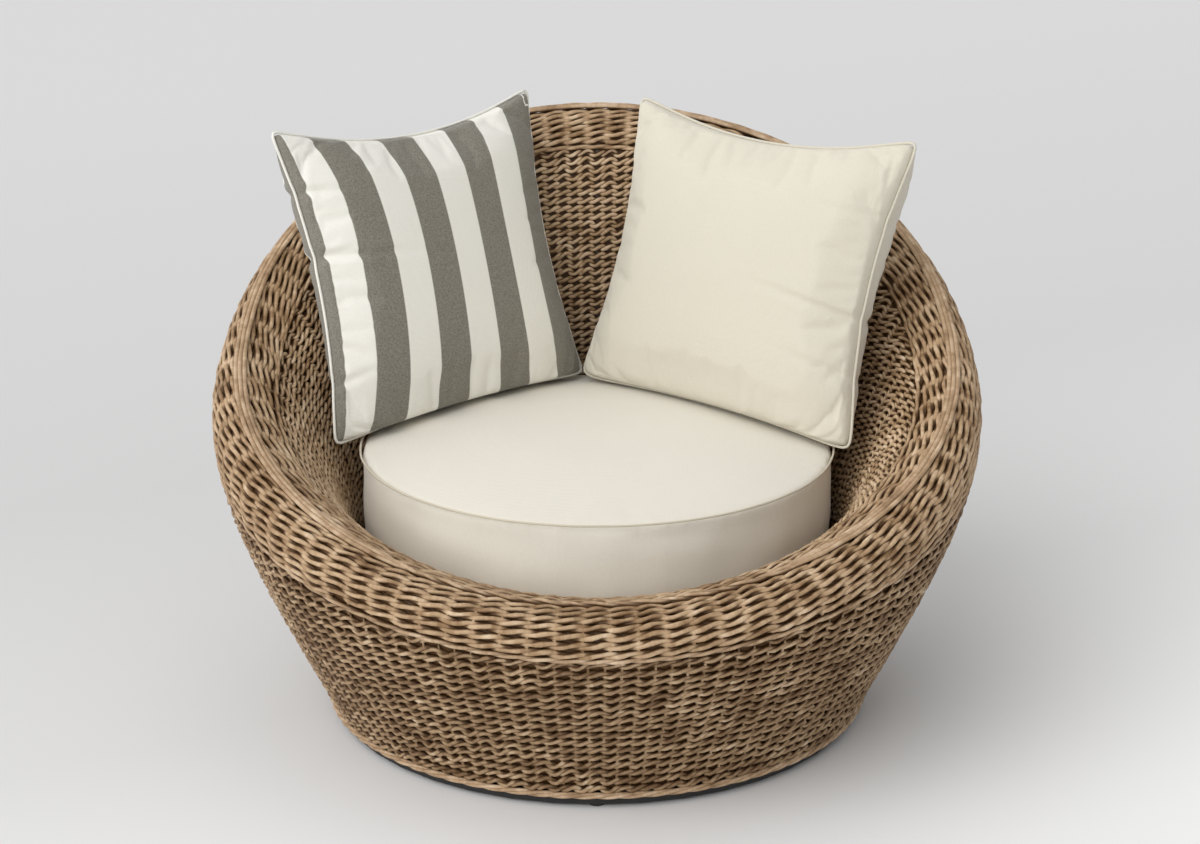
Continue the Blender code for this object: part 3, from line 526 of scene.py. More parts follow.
def twinedRow(side, columns, distance, closed, kind):
    # two strands that twist round each other between the stakes
    turns = side["turns"]
    radius = kind["radius"]
    stake = columns / kind["samples"]
    columns = columns % len(turns)
    drift = weave["drift"] * waver(turns, 5, 45)[columns]
    middle = distance + drift + ripple(turns[columns], distance, stake, kind["sag"])
    tone = dice.random()
    strands = []
    for start in (0, 1):
        phase = math.pi * (stake + start)
        thickness = radius * (1 + weave["thickness"] * waver(turns, 20, 160)[columns])
        depth = radius + kind["sway"] * (1 - np.cos(phase))
        depth += weave["depthWander"] * waver(turns, 20, 90)[columns]
        lift = kind["twist"] * np.sin(phase) + weave["liftWander"] * waver(turns, 60, 200)[columns]
        dip = kind["dip"] * bell(side["shoulder"][columns] - middle, weave["dipReach"])
        centres, normals = onWall(side, columns, middle + lift, depth + dip)
        # painted shade: a strand is painted darker where it dips under the shoulder and where it passes
        # behind a stake
        shaded = radius + dip + weave["shadeBehind"] * kind["sway"] * np.clip(-np.cos(phase), 0, 1)
        strands.append(strand(centres, normals, thickness, closed, tone + weave["pairTone"] * start, shaded))
    return strands


def rows(side, origin, direction, room, pitch, kind):
    # rows of the weave from a line of the wall, up or down it, as far as there is room
    strands = []
    row = 0
    while True:
        middle = (row + weave["firstRow"]) * pitch
        columns, closed = rowSpans(middle < room - weave["lastRow"] * pitch)
        if columns is None:
            return strands
        distance = (origin + direction * middle)[columns % len(room)]
        strands += twinedRow(side, columns, distance, closed, kind)
        row += 1


def posts(side, kind, start, end):
    # stakes that show between the rows, half-way between the places where a row stands out
    strands = []
    for stake in range(kind["stakes"]):
        column = stake * kind["samples"] + kind["samples"] // 2
        distance = np.linspace(start[column], end[column], weave["postSteps"])
        centres, normals = onWall(side, np.full(len(distance), column), distance, kind["postDepth"])
        # painted shade: the stakes are shaded by their own depth, not by where they lie
        strands.append(strand(centres, normals, kind["post"], False, None, kind["postShade"]))
    return strands


# the sheet of painted shade behind the weave: its shade depth lies past the crevice shade's end, so it takes
# the crevice shade colour all over
shadeSheetLayout = {"depth": 0.0074, "steps": 44, "every": 4, "start": 0.002, "tone": 0.3, "along": 0.0, "sunk": 9.0}


def shadeSheet(name, side):
    # a sheet of painted shade inside the wall, which shows dark in the gaps of the weave
    columns = np.arange(0, len(side["turns"]), shadeSheetLayout["every"])
    steps = shadeSheetLayout["steps"]
    rings = []
    for column in columns:
        distance = np.linspace(shadeSheetLayout["start"], side["length"][column], steps)
        rings.append(onWall(side, np.full(steps, column), distance, shadeSheetLayout["depth"])[0])
    faces = gridFaces(len(columns), steps, True, False)
    count = len(columns) * steps
    attributes = {key: np.full(count, shadeSheetLayout[key]) for key in ("tone", "along", "sunk")}
    return meshPiece(name, np.concatenate(rings), faces, finish["shadeSheet"], attributes)


ridge = {
    "radius": 0.0030,
    "spacing": 0.0050,
    "lift": 0.0028,
    "room": 0.0080,
    "closes": 0.0035,  # at the front
    "opens": (28, 38),  # degrees from the front where its strands part
    "wander": 0.0006,
    "slope": 0.0010,  # how much lower the outer two strands lie
    "depthWander": 0.0005,
    "tucks": (0.004, 0.0012),  # how far the first strand and the others sink at the front
    "thickness": 0.06,  # how much it wanders, as a share
    "shrinks": 0.12,  # at the front
}


def ridgeStrands(outer, kind):
    # strands along the crest, which close up into one twined row at the front
    turns = outer["turns"]
    everywhere = np.arange(len(turns))
    across = outward(turns)
    low, high = (math.cos(math.radians(angle)) for angle in ridge["opens"][::-1])
    front = np.clip((np.cos(turns) - low) / (high - low), 0, 1)
    radius = ridge["radius"]
    strands = []
    for lane in (-1, 0, 1):
        phase = math.pi * (everywhere / kind["samples"] + lane)
        centres, _ = onWall(outer, everywhere, outer["length"])
        shift = lane * ridge["spacing"] + ridge["wander"] * waver(turns, 20, 60)
        shift = shift * (1 - front) + front * kind["twist"] * np.sin(phase)
        depth = radius - ridge["lift"] + ridge["slope"] * abs(lane)
        depth = depth + ridge["depthWander"] * waver(turns, 40, 80)
        tuck = ridge["tucks"][0 if lane < 0 else 1]
        depth += front * (kind["sway"] * (1 - np.cos(phase)) + tuck)
        centres += across * shift[:, None]
        centres[:, 2] -= depth - radius
        thickness = radius * (1 + ridge["thickness"] * waver(turns, 20, 90) - ridge["shrinks"] * front)
        strands.append(strand(centres, (0, 0, 1), thickness, True, None, depth))
    return strands


rope = {"radius": 0.0027, "sway": 0.0013, "wander": 0.0004, "footRadius": 0.0024, "footTwists": 26}


def shoulderRope(side, kind):
    # the twisted pair where two kinds of weave meet
    turns = side["turns"]
    everywhere = np.arange(len(turns))
    radius, sway = rope["radius"], rope["sway"]
    strands = []
    for start in (0, 1):
        phase = math.pi * (everywhere / kind["samples"] + start)
        distance = side["shoulder"] + sway * np.sin(phase) + rope["wander"] * waver(turns, 10, 60)
        depth = radius * 0.9 + sway * (1 - np.cos(phase))
        centres, normals = onWall(side, everywhere, distance, depth)
        strands.append(strand(centres, normals, radius, True, None, depth))
    return strands


def footRope():
    # three strands laid up into the border at the woven edge
    low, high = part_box("edge_border")
    middle = (low[2] + high[2]) / 2
    thick = (high[2] - low[2]) / 2
    reach = high[0] - thick
    helix = thick - rope["footRadius"]
    turns = evenTurns(720)
    across = outward(turns)
    strands = []
    for part in range(3):
        angle = rope["footTwists"] * turns + 2 * math.pi * part / 3
        centres = across * (reach + helix * np.cos(angle))[:, None]
        centres[:, 2] = middle + helix * np.sin(angle)
        strands.append(strand(centres, across, rope["footRadius"], True))
    return strands


def seatPiece(piece, slot="wicker", *nodes):
    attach(piece, "seat")
    if nodes:
        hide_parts(*nodes)


def inParts(name, strands, parts, material):
    # joins the strands into a few pieces, the first of which stands in for the solid
    share = math.ceil(len(strands) / parts)
    for index in range(parts):
        some = strands[index * share:(index + 1) * share]
        piece = strandPiece("%s_%d" % (name, index + 1), some, material)
        seatPiece(piece, "wicker", *([name] if index == 0 else []))


def buildWeave():
    fine = weave["fine"]
    outer, inner = wallAt(fine["stakes"] * fine["samples"])
    nothing = np.zeros(len(outer["turns"]))
    pitch = weave["lowerPitch"] * (outer["shoulder"] / outer["shoulder"][0]) ** weave["lowerSpread"]
    lower = rows(outer, nothing, 1, outer["shoulder"], pitch, fine)
    inParts("lower_weave", lower, 4, finish["wickerLowPaintedShade"])
    print("lower weave done:", len(lower), "strands")
    room = inner["length"] - inner["shoulder"]
    pitch = weave["innerPitch"] * (room / room.max()) ** weave["innerSpread"]
    inside = rows(inner, inner["length"], -1, room, pitch, fine)
    inParts("inner_weave", inside, 5, finish["wickerInnerPaintedLight"])
    print("inner weave done:", len(inside), "strands")
    uprights = posts(outer, fine, nothing + weave["postInset"], outer["shoulder"])
    uprights += posts(inner, fine, inner["shoulder"], inner["length"] - weave["postInset"])
    seatPiece(strandPiece("fine_stakes", uprights, finish["wickerLowPaintedShade"], 5))
    seatPiece(shadeSheet("outer_shade_sheet", outer))
    seatPiece(shadeSheet("inner_shade_sheet", inner))

    broad = weave["broad"]
    outer, inner = wallAt(broad["stakes"] * broad["samples"])
    frontness = ((1 + np.cos(outer["turns"])) / 2) ** 3
    room = ridge["room"] - ridge["closes"] * frontness
    pitch = weave["rimPitch"] * (1 + weave["rimOpening"] * frontness)
    span = outer["length"] - room - outer["shoulder"]
    outside = rows(outer, outer["length"] - room, -1, span, pitch, broad)
    within = rows(inner, room, 1, inner["shoulder"] - room, pitch, broad)
    inParts("rim_weave", outside + within, 2, finish["wicker"])
    uprights = posts(outer, broad, outer["shoulder"], outer["length"])
    uprights += posts(inner, broad, 0 * inner["length"], inner["shoulder"])
    seatPiece(strandPiece("broad_stakes", uprights, finish["wicker"], 5))
    crest = strandPiece("rim_ridge", ridgeStrands(outer, broad), finish["wickerLight"], 8)
    seatPiece(crest, "wicker_light", "rim_border")
    pair = strandPiece("shoulder_rope", shoulderRope(outer, broad), finish["wickerLight"])
    seatPiece(pair, "wicker_light")
    seatPiece(strandPiece("inner_rope", shoulderRope(inner, broad), finish["wicker"]))
    seatPiece(strandPiece("foot_rope", footRope(), finish["wickerLight"]), "wicker_light", "edge_border")
    print("rim weave done:", len(outside) + len(within), "strands")


# soft pieces

coverFrames = 20
coverCloth = {
    "quality": 6, "mass": 0.25, "tension_stiffness": 18, "compression_stiffness": 18, "shear_stiffness": 6,
    "bending_stiffness": 0.6, "use_pressure": True, "vertex_group_mass": "seam",
}


def puff(piece, pinned, voxel, pressure, cap, slack=0.0):
    # fills the cover with air for a moment, and limits how far any point moves
    remesh = piece.modifiers.new("remesh", "REMESH")
    remesh.mode = "VOXEL"
    remesh.voxel_size = voxel
    applyModifiers(piece)
    before = placesOf(piece.data)
    group = piece.vertex_groups.new(name="seam")
    group.add(np.nonzero(pinned(before))[0].tolist(), 1.0, "ADD")
    cloth = piece.modifiers.new("cloth", "CLOTH")
    for key, value in coverCloth.items():
        setattr(cloth.settings, key, value)
    cloth.settings.uniform_pressure_force = pressure
    cloth.settings.shrink_min = -slack
    cloth.settings.effector_weights.gravity = 0
    cloth.collision_settings.use_collision = False
    cloth.point_cache.frame_start = 1
    cloth.point_cache.frame_end = coverFrames
    for number in range(1, coverFrames + 1):
        scene.frame_set(number)
    graph = bpy.context.evaluated_depsgraph_get()
    move = placesOf(piece.evaluated_get(graph).data) - before
    piece.modifiers.remove(cloth)
    scene.frame_set(1)
    length = np.linalg.norm(move, axis=1, keepdims=True)
    return before + move * np.minimum(1, cap / np.maximum(length, 1e-9))


def applyModifiers(piece):
    graph = bpy.context.evaluated_depsgraph_get()
    mesh = bpy.data.meshes.new_from_object(piece.evaluated_get(graph))
    piece.modifiers.clear()
    piece.data = mesh


def finishSoft(piece, places, material):
    # writes the shaped points back and rounds the faces off once
    piece.data.vertices.foreach_set("co", places.astype(np.float32).ravel())
    piece.data.update()
    piece.vertex_groups.clear()
    rounder = piece.modifiers.new("rounder", "SUBSURF")
    rounder.levels = 1
    applyModifiers(piece)
    piece.data.materials.clear()
    piece.data.materials.append(material)
    piece.data.polygons.foreach_set("use_smooth", np.full(len(piece.data.polygons), True))


cushion = {
    "radius": 0.300,
    "seam": 0.342,
    "crown": 0.018,
    "crownPower": 2.5,
    "cornerRound": 0.006,
    "sideBelly": 0.002,
    "piping": 0.0014,
    "pipingWander": 0.0003,
    "cloth": fromScreen(233, 228, 215),
    "pipingCloth": fromScreen(206, 196, 176),
    "threadPitch": 0.0011,
    "room": 0.003,  # for the cover to fill out to the sides
    "filling": {"voxel": 0.0075, "pressure": 3.0, "cap": 0.004},
    # waves of the folds in its side and of the dimples on top
    "folds": (
        (9, 0, 1.1, 0.0009), (17, 0, 0.4, 0.0009), (31, 0, 0, 0.00063),
        (7, 9, 0, 0.0012), (12, -7, 1.7, 0.0012), (5, 16, 0.5, 0.0012),
    ),
    "dimple": 0.0012,
}


def buildCushion():
    low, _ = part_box("cushion_cover")
    bottom, seam, radius = low[2], cushion["seam"], cushion["radius"]
    corner = cushion["cornerRound"]
    start = radius - cushion["room"]
    outline = [(0.0, bottom + 0.001)]
    outline += [(start * share, bottom + 0.001) for share in np.linspace(0.1, 0.96, 12)]
    outline.append((start, bottom + corner))
    for share in np.linspace(0.1, 0.9, 12):
        belly = cushion["sideBelly"] * math.sin(math.pi * share)
        outline.append((start - 0.002 + belly, bottom + corner + (seam - bottom - 2 * corner) * share))
    outline.append((start, seam - 0.003))
    for share in np.linspace(0.985, 0.0, 18):
        rise = cushion["crown"] * (1 - share ** cushion["crownPower"])
        outline.append((start * share, seam - 0.0005 + rise))
    count = 96
    across = outward(evenTurns(count))
    vertices = [(0, 0, outline[0][1])]
    for reach, height in outline[1:-1]:
        vertices += (across * reach + (0, 0, height)).tolist()
    vertices.append((0, 0, outline[-1][1]))
    rings = len(outline) - 2
    faces = (1 + gridFaces(rings, count, False, True)[:, [0, 3, 2, 1]]).tolist()
    last = len(vertices) - 1
    top = 1 + (rings - 1) * count
    for index in range(count):
        after = (index + 1) % count
        faces.append((0, 1 + after, 1 + index))
        faces.append((last, top + index, top + after))
    piece = softPiece("seat_cushion", vertices, faces)

    def nearSeams(places):
        reach = np.linalg.norm(places[:, :2], axis=1)
        atTop = (reach > start - 0.006) & (np.abs(places[:, 2] - seam) < 0.007)
        atBottom = places[:, 2] < bottom + 0.004
        return atTop | atBottom

    places = puff(piece, nearSeams, **cushion["filling"])
    reach = np.linalg.norm(places[:, :2], axis=1)
    turn = np.arctan2(places[:, 0], -places[:, 1])
    onSide = np.clip((reach - start + 0.012) / 0.008, 0, 1)
    onSide = onSide * (np.abs(places[:, 2] - (bottom + seam) / 2) < 0.055)
    height = (places[:, 2] - bottom) / (seam - bottom)
    places[:, :2] *= (1 + onSide * waveSum(cushion["folds"], turn, height))[:, None]
    dimple = cushion["dimple"] * np.sin(11 * places[:, 0] + 2) * np.sin(13 * places[:, 1] + 1)
    places[:, 2] += dimple * (places[:, 2] > seam) * np.clip((start - reach) / 0.05, 0, 1)
    places[:, 2] = np.maximum(places[:, 2], bottom + 0.0004)
    material = clothMaterial("cushion_canvas", cushion["cloth"], cushion["threadPitch"])
    finishSoft(piece, places, material)
    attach(piece, "cushion")
    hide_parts("cushion_cover", "cushion_foam")

    material = clothMaterial("cushion_piping_canvas", cushion["pipingCloth"], cushion["threadPitch"])
    turns = evenTurns(240)
    across = outward(turns)
    wander = cushion["pipingWander"]
    for name, height, inset in (("top", seam, 0.0006), ("bottom", bottom + corner, 0.0012)):
        centres = across * (radius - inset + wander * waver(turns, 8, 30))[:, None]
        centres[:, 2] = height + wander * waver(turns, 8, 30)
        cord = [strand(centres, across, cushion["piping"], True)]
        cord = strandPiece("cushion_piping_" + name, cord, material, 8)
        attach(cord, "cushion")
    print("seat cushion done")


zipper = {"toothPitch": 0.0035, "toothHeight": 0.0022, "toothDepth": 0.0012, "tapeSteps": 40}
boxSigns = [(a, b, c) for a in (-1, 1) for b in (-1, 1) for c in (-1, 1)]
boxFaces = ((0, 1, 3, 2), (4, 6, 7, 5), (0, 4, 5, 1), (2, 3, 7, 6), (0, 2, 6, 4), (1, 5, 7, 3))


def buildZip():
    # tape, two rows of teeth and a slider at the back of the cushion
    low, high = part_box("cushion_zip")
    reach = cushion["radius"] - 0.0028
    middle = (low[2] + high[2]) / 2
    start = math.pi - math.asin(high[0] / reach) + 0.004
    end = math.pi + math.asin(-low[0] / reach) - 0.004
    boxes = []

    def block(turn, radius, height, size):
        out = np.array([math.sin(turn), -math.cos(turn), 0])
        along = np.array([math.cos(turn), math.sin(turn), 0])
        up = np.array([0, 0, 1.0])
        corners = np.array(boxSigns) * size / 2 @ np.array([along, out, up])
        boxes.append(corners + out * radius + up * height)

    steps = zipper["tapeSteps"]
    width = (end - start) * reach / steps
    for index in range(steps):
        turn = start + (end - start) * (index + 0.5) / steps
        block(turn, reach, middle, (width * 1.02, 0.0008, high[2] - low[2]))
    teeth = int((end - start) * reach / zipper["toothPitch"])
    for index in range(teeth):
        turn = start + (end - start) * (index + 0.5) / teeth
        height = middle + (0.0006 if index % 2 else -0.0006)
        size = (zipper["toothPitch"] * 0.7, zipper["toothDepth"], zipper["toothHeight"])
        block(turn, reach + 0.0008, height, size)
    block(start + 0.03, reach + 0.0014, middle, (0.009, 0.002, 0.007))
    block(start + 0.03, reach + 0.0020, middle - 0.008, (0.004, 0.0008, 0.014))
    faces = np.concatenate([np.array(boxFaces) + 8 * index for index in range(len(boxes))])
    piece = meshPiece("cushion_zipper", np.concatenate(boxes), faces, finish["blackPlastic"], smooth=False)
    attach(piece, "cushion")
    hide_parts("cushion_zip")


pillows = {
    "pillow_left": {
        "width": 0.415,
        "height": 0.391,
        "backBelly": 0.118,
        "cornerRound": 0.016,
        "outerSide": -1,
        "overhang": 0.014,  # how far the cover sags over the bottom seam
        "swing": 40.7,
        "lean": 17.3,
        "cloth": fromScreen(243, 241, 232),
        "slot": "striped_cloth",
        # creases that run in from the sides: side, height, depth, reach, slope
        "creases": [
            (-1, 0.58, 0.0065, 0.22, 0.05),
            (-1, 0.16, 0.0095, 0.45, -0.12),
            (-1, -0.64, 0.0050, 0.18, 0.10),
        ],
    },
    "pillow_right": {
        "width": 0.448,
        "height": 0.386,
        "backBelly": 0.150,
        "cornerRound": 0.034,
        "outerSide": 1,
        "overhang": 0.009,
        "swing": -39.8,
        "lean": 19.3,
        "cloth": fromScreen(214, 208, 192),
        "slot": "cream_cloth",
        "creases": [
            (1, 0.46, 0.0050, 0.30, 0.16),
            (1, -0.20, 0.0075, 0.50, 0.12),
            (1, -0.56, 0.0045, 0.30, 0.10),
            (-1, -0.05, 0.0020, 0.20, 0.0),
        ],
    },
}
pillowShape = {
    "frontBelly": 0.055,
    "sideDrawIn": 0.13,
    "endDrawIn": (0.04, 0.19),  # of the bottom and of the top
    "droop": 0.012,  # of the bottom corner that hangs past the cushion
    "startFull": (0.96, 0.90),  # of the solid's front and back, before the cover is filled
    "backSlim": 0.45,  # how much thinner the back is near the bottom edge
    "fullness": (0.35, 0.45),  # of the front and of the back
    "creaseWidth": 0.020,
    "creasePull": 0.25,  # how far a crease draws the side in, against its depth
    "filling": {"voxel": 0.0052, "pressure": 5.0, "cap": 0.007, "slack": 0.025},
    "steps": 36,
    "piping": 0.0019,
    "pipingSteps": 60,  # on each side
    "threadPitch": 0.0012,
    "stripe": 0.248,  # of half of the width
    "firstStripe": -1.02,
    "turnedUnder": (-0.78, 1.33),  # the outer stripe is drawn round the edge: from where and how much
    "tip": (0.93, 0.90),  # the corner where the next stripe just shows
    "tipTone": 1.25,
    "stripeGreys": (fromScreen(118, 114, 104), fromScreen(146, 142, 131)),
    "stripeBlur": 0.04,
    "heatherScale": 480.0,
}


def stripePattern(tree, plain):
    # wide woven stripes, told apart by how far across the cover a point is
    shift = mathNode(tree, "SUBTRACT", attributeNode(tree, "across"), pillowShape["firstStripe"])
    steps = mathNode(tree, "DIVIDE", shift, pillowShape["stripe"])
    wave = mathNode(tree, "SINE", mathNode(tree, "MULTIPLY", steps, math.pi))
    blur = pillowShape["stripeBlur"]
    edge = addNode(tree, "ShaderNodeMapRange", {"Value": wave, "From Min": -blur, "From Max": blur})
    heather = noiseNode(tree, objectPlace(tree), pillowShape["heatherScale"], 2.0, 0.7)
    dark, light = pillowShape["stripeGreys"]
    grey = colourRamp(tree, heather, [(0.35, dark), (0.65, light)])
    return mixColours(tree, edge.outputs["Result"], grey, plain)


def pillowDraw(spec, u, v):
    # how much narrower and lower the cover is between its corners
    low, high = pillowShape["endDrawIn"]
    level = low + (high - low) * (v + 1) / 2
    corner = 1 - spec["cornerRound"] * np.abs(u * v) ** 12
    return (1 - pillowShape["sideDrawIn"] * (1 - v * v)) * corner, (1 - level * (1 - u * u)) * corner


def pillowDroop(spec, u, v):
    outer = ((1 + spec["outerSide"] * u) / 2) ** 3
    return pillowShape["droop"] * outer * ((1 - v) / 2) ** 2


def pillowOutline(spec, u, v):
    narrow, flat = pillowDraw(spec, u, v)
    return spec["width"] / 2 * u * narrow, spec["height"] / 2 * v * flat - pillowDroop(spec, u, v)


def offSeam(places):
    # 0 in the seam and 1 from 12 mm off it
    return np.clip(np.abs(places[:, 2]) / 0.012, 0, 1)


def creasePull(depth, away):
    # how far a crease draws the side in
    return pillowShape["creasePull"] * depth * bell(away, 0.05)


def pillowPlace(node, spec):
    # how the pillow stands, and where its middle is, which follows from the top corners of the solid
    swing, lean = math.radians(spec["swing"]), math.radians(spec["lean"])
    across = Vector((math.cos(swing), math.sin(swing), 0))
    away = Vector((-math.sin(swing), math.cos(swing), 0))
    up = away * math.sin(lean) + Vector((0, 0, math.cos(lean)))
    turn = Matrix((across, up, across.cross(up))).transposed()
    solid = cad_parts[node]
    local = np.array([turn.transposed() @ (solid.matrix_world @ v.co) for v in solid.data.vertices])
    middle = (local.min(0) + local.max(0)) / 2
    middle[1] = local[:, 1].max() - spec["height"] / 2
    middle[2] = local[:, 2].max() - pillowShape["frontBelly"]
    place = turn.to_4x4()
    place.translation = turn @ Vector(middle)
    return place


def buildPillow(node, spec):
    steps = pillowShape["steps"]
    grid = np.sin(np.pi / 2 * np.linspace(-1, 1, steps + 1))
    corners = gridFaces(steps + 1, steps + 1, False, False)
    vertices, faces, front = [], [], None
    bellies = (pillowShape["frontBelly"], spec["backBelly"])
    starts = pillowShape["startFull"]
    for side, belly, start, power in zip((1, -1), bellies, starts, pillowShape["fullness"]):
        points = []
        for row, v in enumerate(grid):
            for column, u in enumerate(grid):
                if front and (row in (0, steps) or column in (0, steps)):
                    points.append(front[len(points)])
                    continue
                x, y = pillowOutline(spec, u, v)
                full = max((1 - u * u) * (1 - v * v), 0) ** power
                if front:
                    full *= 1 - pillowShape["backSlim"] * ((1 - v) / 2) ** 2
                points.append(len(vertices))
                vertices.append((x, y, side * start * belly * full))
        order = [1, 2, 3, 0] if front else [0, 3, 2, 1]
        faces += np.array(points)[corners[:, order]].tolist()
        front = points
    piece = softPiece(node + "_cover", vertices, faces)

    def across(places):
        # how far across and up the cover a point is, from -1 to 1
        width, height = spec["width"] / 2, spec["height"] / 2
        u, v = places[:, 0] / width, places[:, 1] / height
        for _ in range(6):
            u, v = np.clip(u, -1.05, 1.05), np.clip(v, -1.05, 1.05)
            narrow, flat = pillowDraw(spec, u, v)
            droop = pillowDroop(spec, u, v)
            u, v = places[:, 0] / (width * narrow), (places[:, 1] + droop) / (height * flat)
        return u, v

    def nearSeam(places):
        u, v = across(places)
        return np.maximum(np.abs(u), np.abs(v)) > 0.975

    places = puff(piece, nearSeam, **pillowShape["filling"])
    u, v = across(places)
    for side, height, depth, reach, slope in spec["creases"]:
        inward = np.clip(1 - side * u, 0, 2)
        off = (v - height - slope * inward) / pillowShape["creaseWidth"]
        fold = bell(off, 1) - 0.22 * bell(off - 2.4, 1.6) - 0.22 * bell(off + 2.4, 1.6)
        places[:, 2] -= np.sign(places[:, 2]) * depth * fold * bell(inward, reach) * offSeam(places)
        places[:, 0] -= side * creasePull(depth, v - height) * bell(inward, 0.12)
    sag = bell(v + 0.92, 0.07) * (1 - u ** 4) * offSeam(places)
    places[:, 1] -= spec["overhang"] * sag
    stripes = stripePattern if spec["slot"] == "striped_cloth" else None
    material = clothMaterial(node + "_cloth", spec["cloth"], pillowShape["threadPitch"], stripes)
    finishSoft(piece, places, material)
    u, v = across(placesOf(piece.data))
    start, stretch = pillowShape["turnedUnder"]
    u = np.where(u < start, start + (u - start) * stretch, u)
    u = np.where((u > pillowShape["tip"][0]) & (v > pillowShape["tip"][1]), pillowShape["tipTone"], u)
    layer = piece.data.attributes.new("across", "FLOAT", "POINT")
    layer.data.foreach_set("value", u.astype(np.float32))
    piece.matrix_world = pillowPlace(node, spec)
    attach(piece, node)
    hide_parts(node)
    if stripes:
        material = clothMaterial(node + "_piping_cloth", spec["cloth"], pillowShape["threadPitch"])
    buildPiping(node, spec, material)
    print(node, "done")


def buildPiping(node, spec, material):
    # welt cord sewn in the seam, rounded at the corners
    corners = np.array([(-1, -1), (1, -1), (1, 1), (-1, 1)])
    shares = np.linspace(0, 1, pillowShape["pipingSteps"], endpoint=False)[:, None]
    sides = zip(corners, np.roll(corners, -1, 0))
    u, v = np.concatenate([start + (end - start) * shares for start, end in sides]).T
    x, y = pillowOutline(spec, u, v)
    for side, height, depth, _, _ in spec["creases"]:
        x = x - side * creasePull(depth, v - height) * (u * side > 0.999)
    centres = np.stack([x, y, np.zeros(len(x))], -1)
    centres = (np.roll(centres, 1, 0) + 2 * centres + np.roll(centres, -1, 0)) / 4
    heading = unit(np.roll(centres, -1, 0) - np.roll(centres, 1, 0))
    out = np.stack([heading[:, 1], -heading[:, 0], np.zeros(len(x))], -1)
    centres = centres + out * pillowShape["piping"] * 0.8
    cord = [strand(centres, (0, 0, 1), pillowShape["piping"], True)]
    cord = strandPiece(node + "_welt", cord, material, 8)
    cord.matrix_world = pillowPlace(node, spec)
    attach(cord, node)
    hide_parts(node + "_piping")


# frame and base keep their solids and get their finishes

nodeFinish = {
    "blackSteel": ("floor_ring", "base_cross", "seat_cross"),
    "zinc": ("lower_plate", "upper_plate", "centre_pin", "pin_washer", "pin_nut", "base_bolt", "seat_bolt"),
    "ballSteel": ("ball_1", "ball_2", "ball_3", "ball_4", "ball_5", "ball_6"),
    "blackPlastic": ("glide", "ball_cage"),
    "brownCoat": ("bottom_ring", "seat_ring", "rim_tube", "rib", "seat_post", "seat_slat"),
}


def dressNodes():
    for key, names in nodeFinish.items():
        for node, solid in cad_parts.items():
            if (node + "_").startswith(tuple(name + "_" for name in names)):
                for slot in solid.material_slots:
                    slot.material = finish[key]


# studio

studio = {
    "backdrop": fromScreen(219, 219, 219),
    # painted light: the floor is painted brightest just in front of the chair, against the chair's shade,
    # and its tone grades towards the back along a line that leans across from side to side
    "paintedFloorLight": ((0.05, 251), (0.19, 226), (0.36, 214), (0.9, 219)),  # from the front to the back
    "paintedFloorLightLean": 0.55,
    "floorReach": 30,
    "skyStrength": 0.76,
    "skyLean": 0.78,  # how much brighter the sky is on the left than on the right
    # strength, angle across the lamp, and where its light comes from
    "lamps": {"key": (1.12, 55, (-1.0, -1.15, 1.25)), "fill": (0.02, 60, (0.9, -0.8, 0.9))},
    "cameraPlace": (0.0038, -3.2, 1.4415),
    "cameraTilt": 18.514,
    "focalPixels": 2664.9,
    "imageWidth": 1200,
}


def sunLamp(name, strength, angle, comesFrom):
    lamp = bpy.data.lights.new(name, "SUN")
    lamp.energy = strength
    lamp.angle = math.radians(angle)
    newObject(name, lamp).rotation_euler = Vector(comesFrom).to_track_quat("Z", "Y").to_euler()


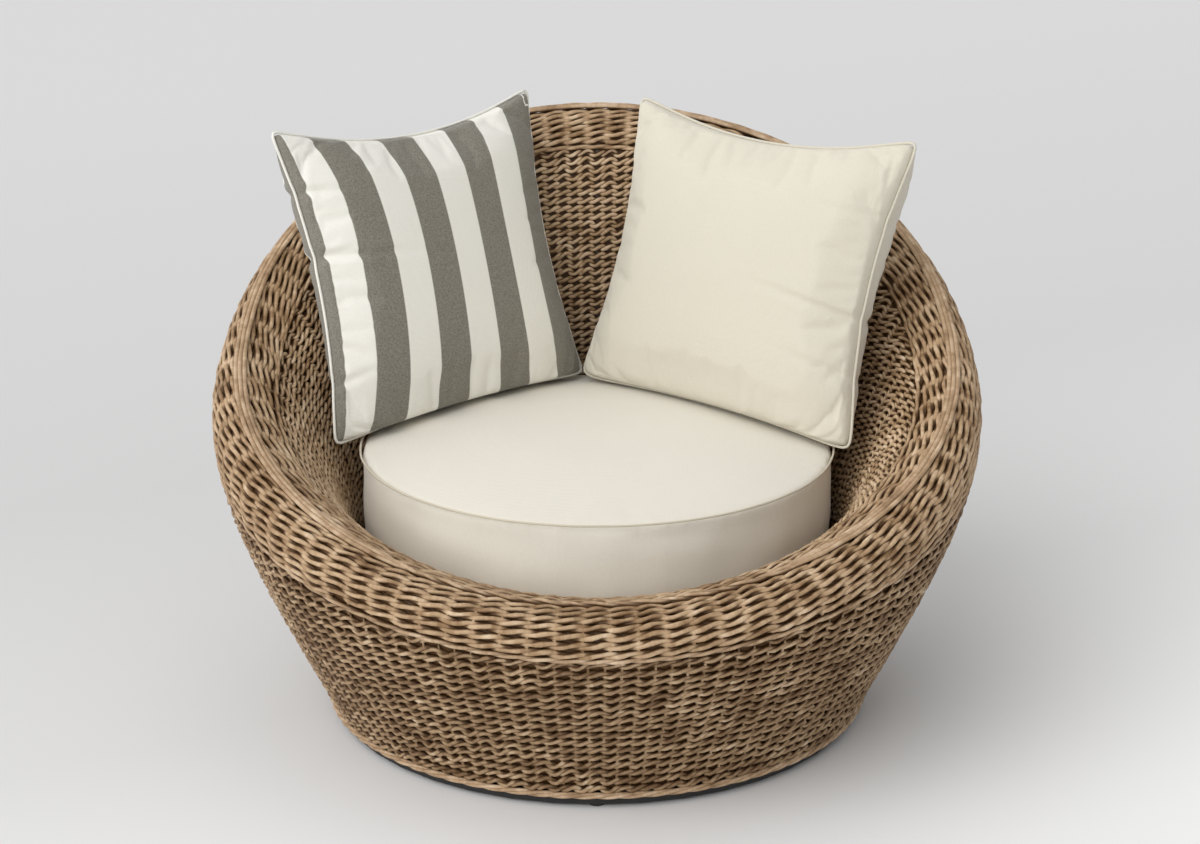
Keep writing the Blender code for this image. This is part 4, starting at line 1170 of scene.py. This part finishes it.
def buildStudio():
    material, tree, shader = newMaterial("studio_floor_painted_light", studio["backdrop"], 0.9, specular=0.1)
    # painted light: the floor's colour grades with its place
    parts = addNode(tree, "ShaderNodeSeparateXYZ", {"Vector": objectPlace(tree)}).outputs
    along = mathNode(tree, "MULTIPLY_ADD", parts["X"], -studio["paintedFloorLightLean"], parts["Y"])
    depth = addNode(tree, "ShaderNodeMapRange", {"Value": along, "From Min": -1.0, "From Max": 5.0})
    tones = [(share, fromScreen(tone, tone, tone)) for share, tone in studio["paintedFloorLight"]]
    tree.links.new(colourRamp(tree, depth.outputs["Result"], tones), shader.inputs["Base Color"])
    reach = studio["floorReach"]
    corners = [(-reach, -reach, 0), (reach, -reach, 0), (reach, reach, 0), (-reach, reach, 0)]
    floor = meshPiece("floor", corners, [(0, 1, 2, 3)], material)
    for name, settings in studio["lamps"].items():
        sunLamp(name, *settings)
    world = bpy.data.worlds.new("studio")
    scene.world = world
    world.use_nodes = True
    tree = world.node_tree
    light = tree.nodes["Background"]
    light.inputs["Color"].default_value = (1, 1, 1, 1)
    heading = addNode(tree, "ShaderNodeTexCoord").outputs["Generated"]
    sideways = addNode(tree, "ShaderNodeSeparateXYZ", {"Vector": heading}).outputs["X"]
    lean = -studio["skyStrength"] * studio["skyLean"]
    strength = mathNode(tree, "MULTIPLY_ADD", sideways, lean, studio["skyStrength"])
    tree.links.new(strength, light.inputs["Strength"])
    back = addNode(tree, "ShaderNodeBackground", {"Color": (*studio["backdrop"], 1)})
    rays = addNode(tree, "ShaderNodeLightPath").outputs
    seen = mathNode(tree, "MAXIMUM", rays["Is Camera Ray"], rays["Is Glossy Ray"])
    seen = mathNode(tree, "MAXIMUM", seen, rays["Is Transmission Ray"])
    mixer = addNode(tree, "ShaderNodeMixShader", {0: seen, 1: light.outputs[0], 2: back.outputs[0]})
    tree.links.new(mixer.outputs[0], tree.nodes["World Output"].inputs["Surface"])
    camera = bpy.data.cameras.new("camera")
    camera.lens = studio["focalPixels"] * camera.sensor_width / studio["imageWidth"]
    holder = newObject("camera", camera)
    holder.location = studio["cameraPlace"]
    holder.rotation_euler = (math.radians(90 - studio["cameraTilt"]), 0, 0)
    scene.camera = holder
    scene.view_settings.view_transform = "Standard"


buildStudio()
dressNodes()
buildWeave()
buildCushion()
buildZip()
for node, spec in pillows.items():
    buildPillow(node, spec)

print("scene done")
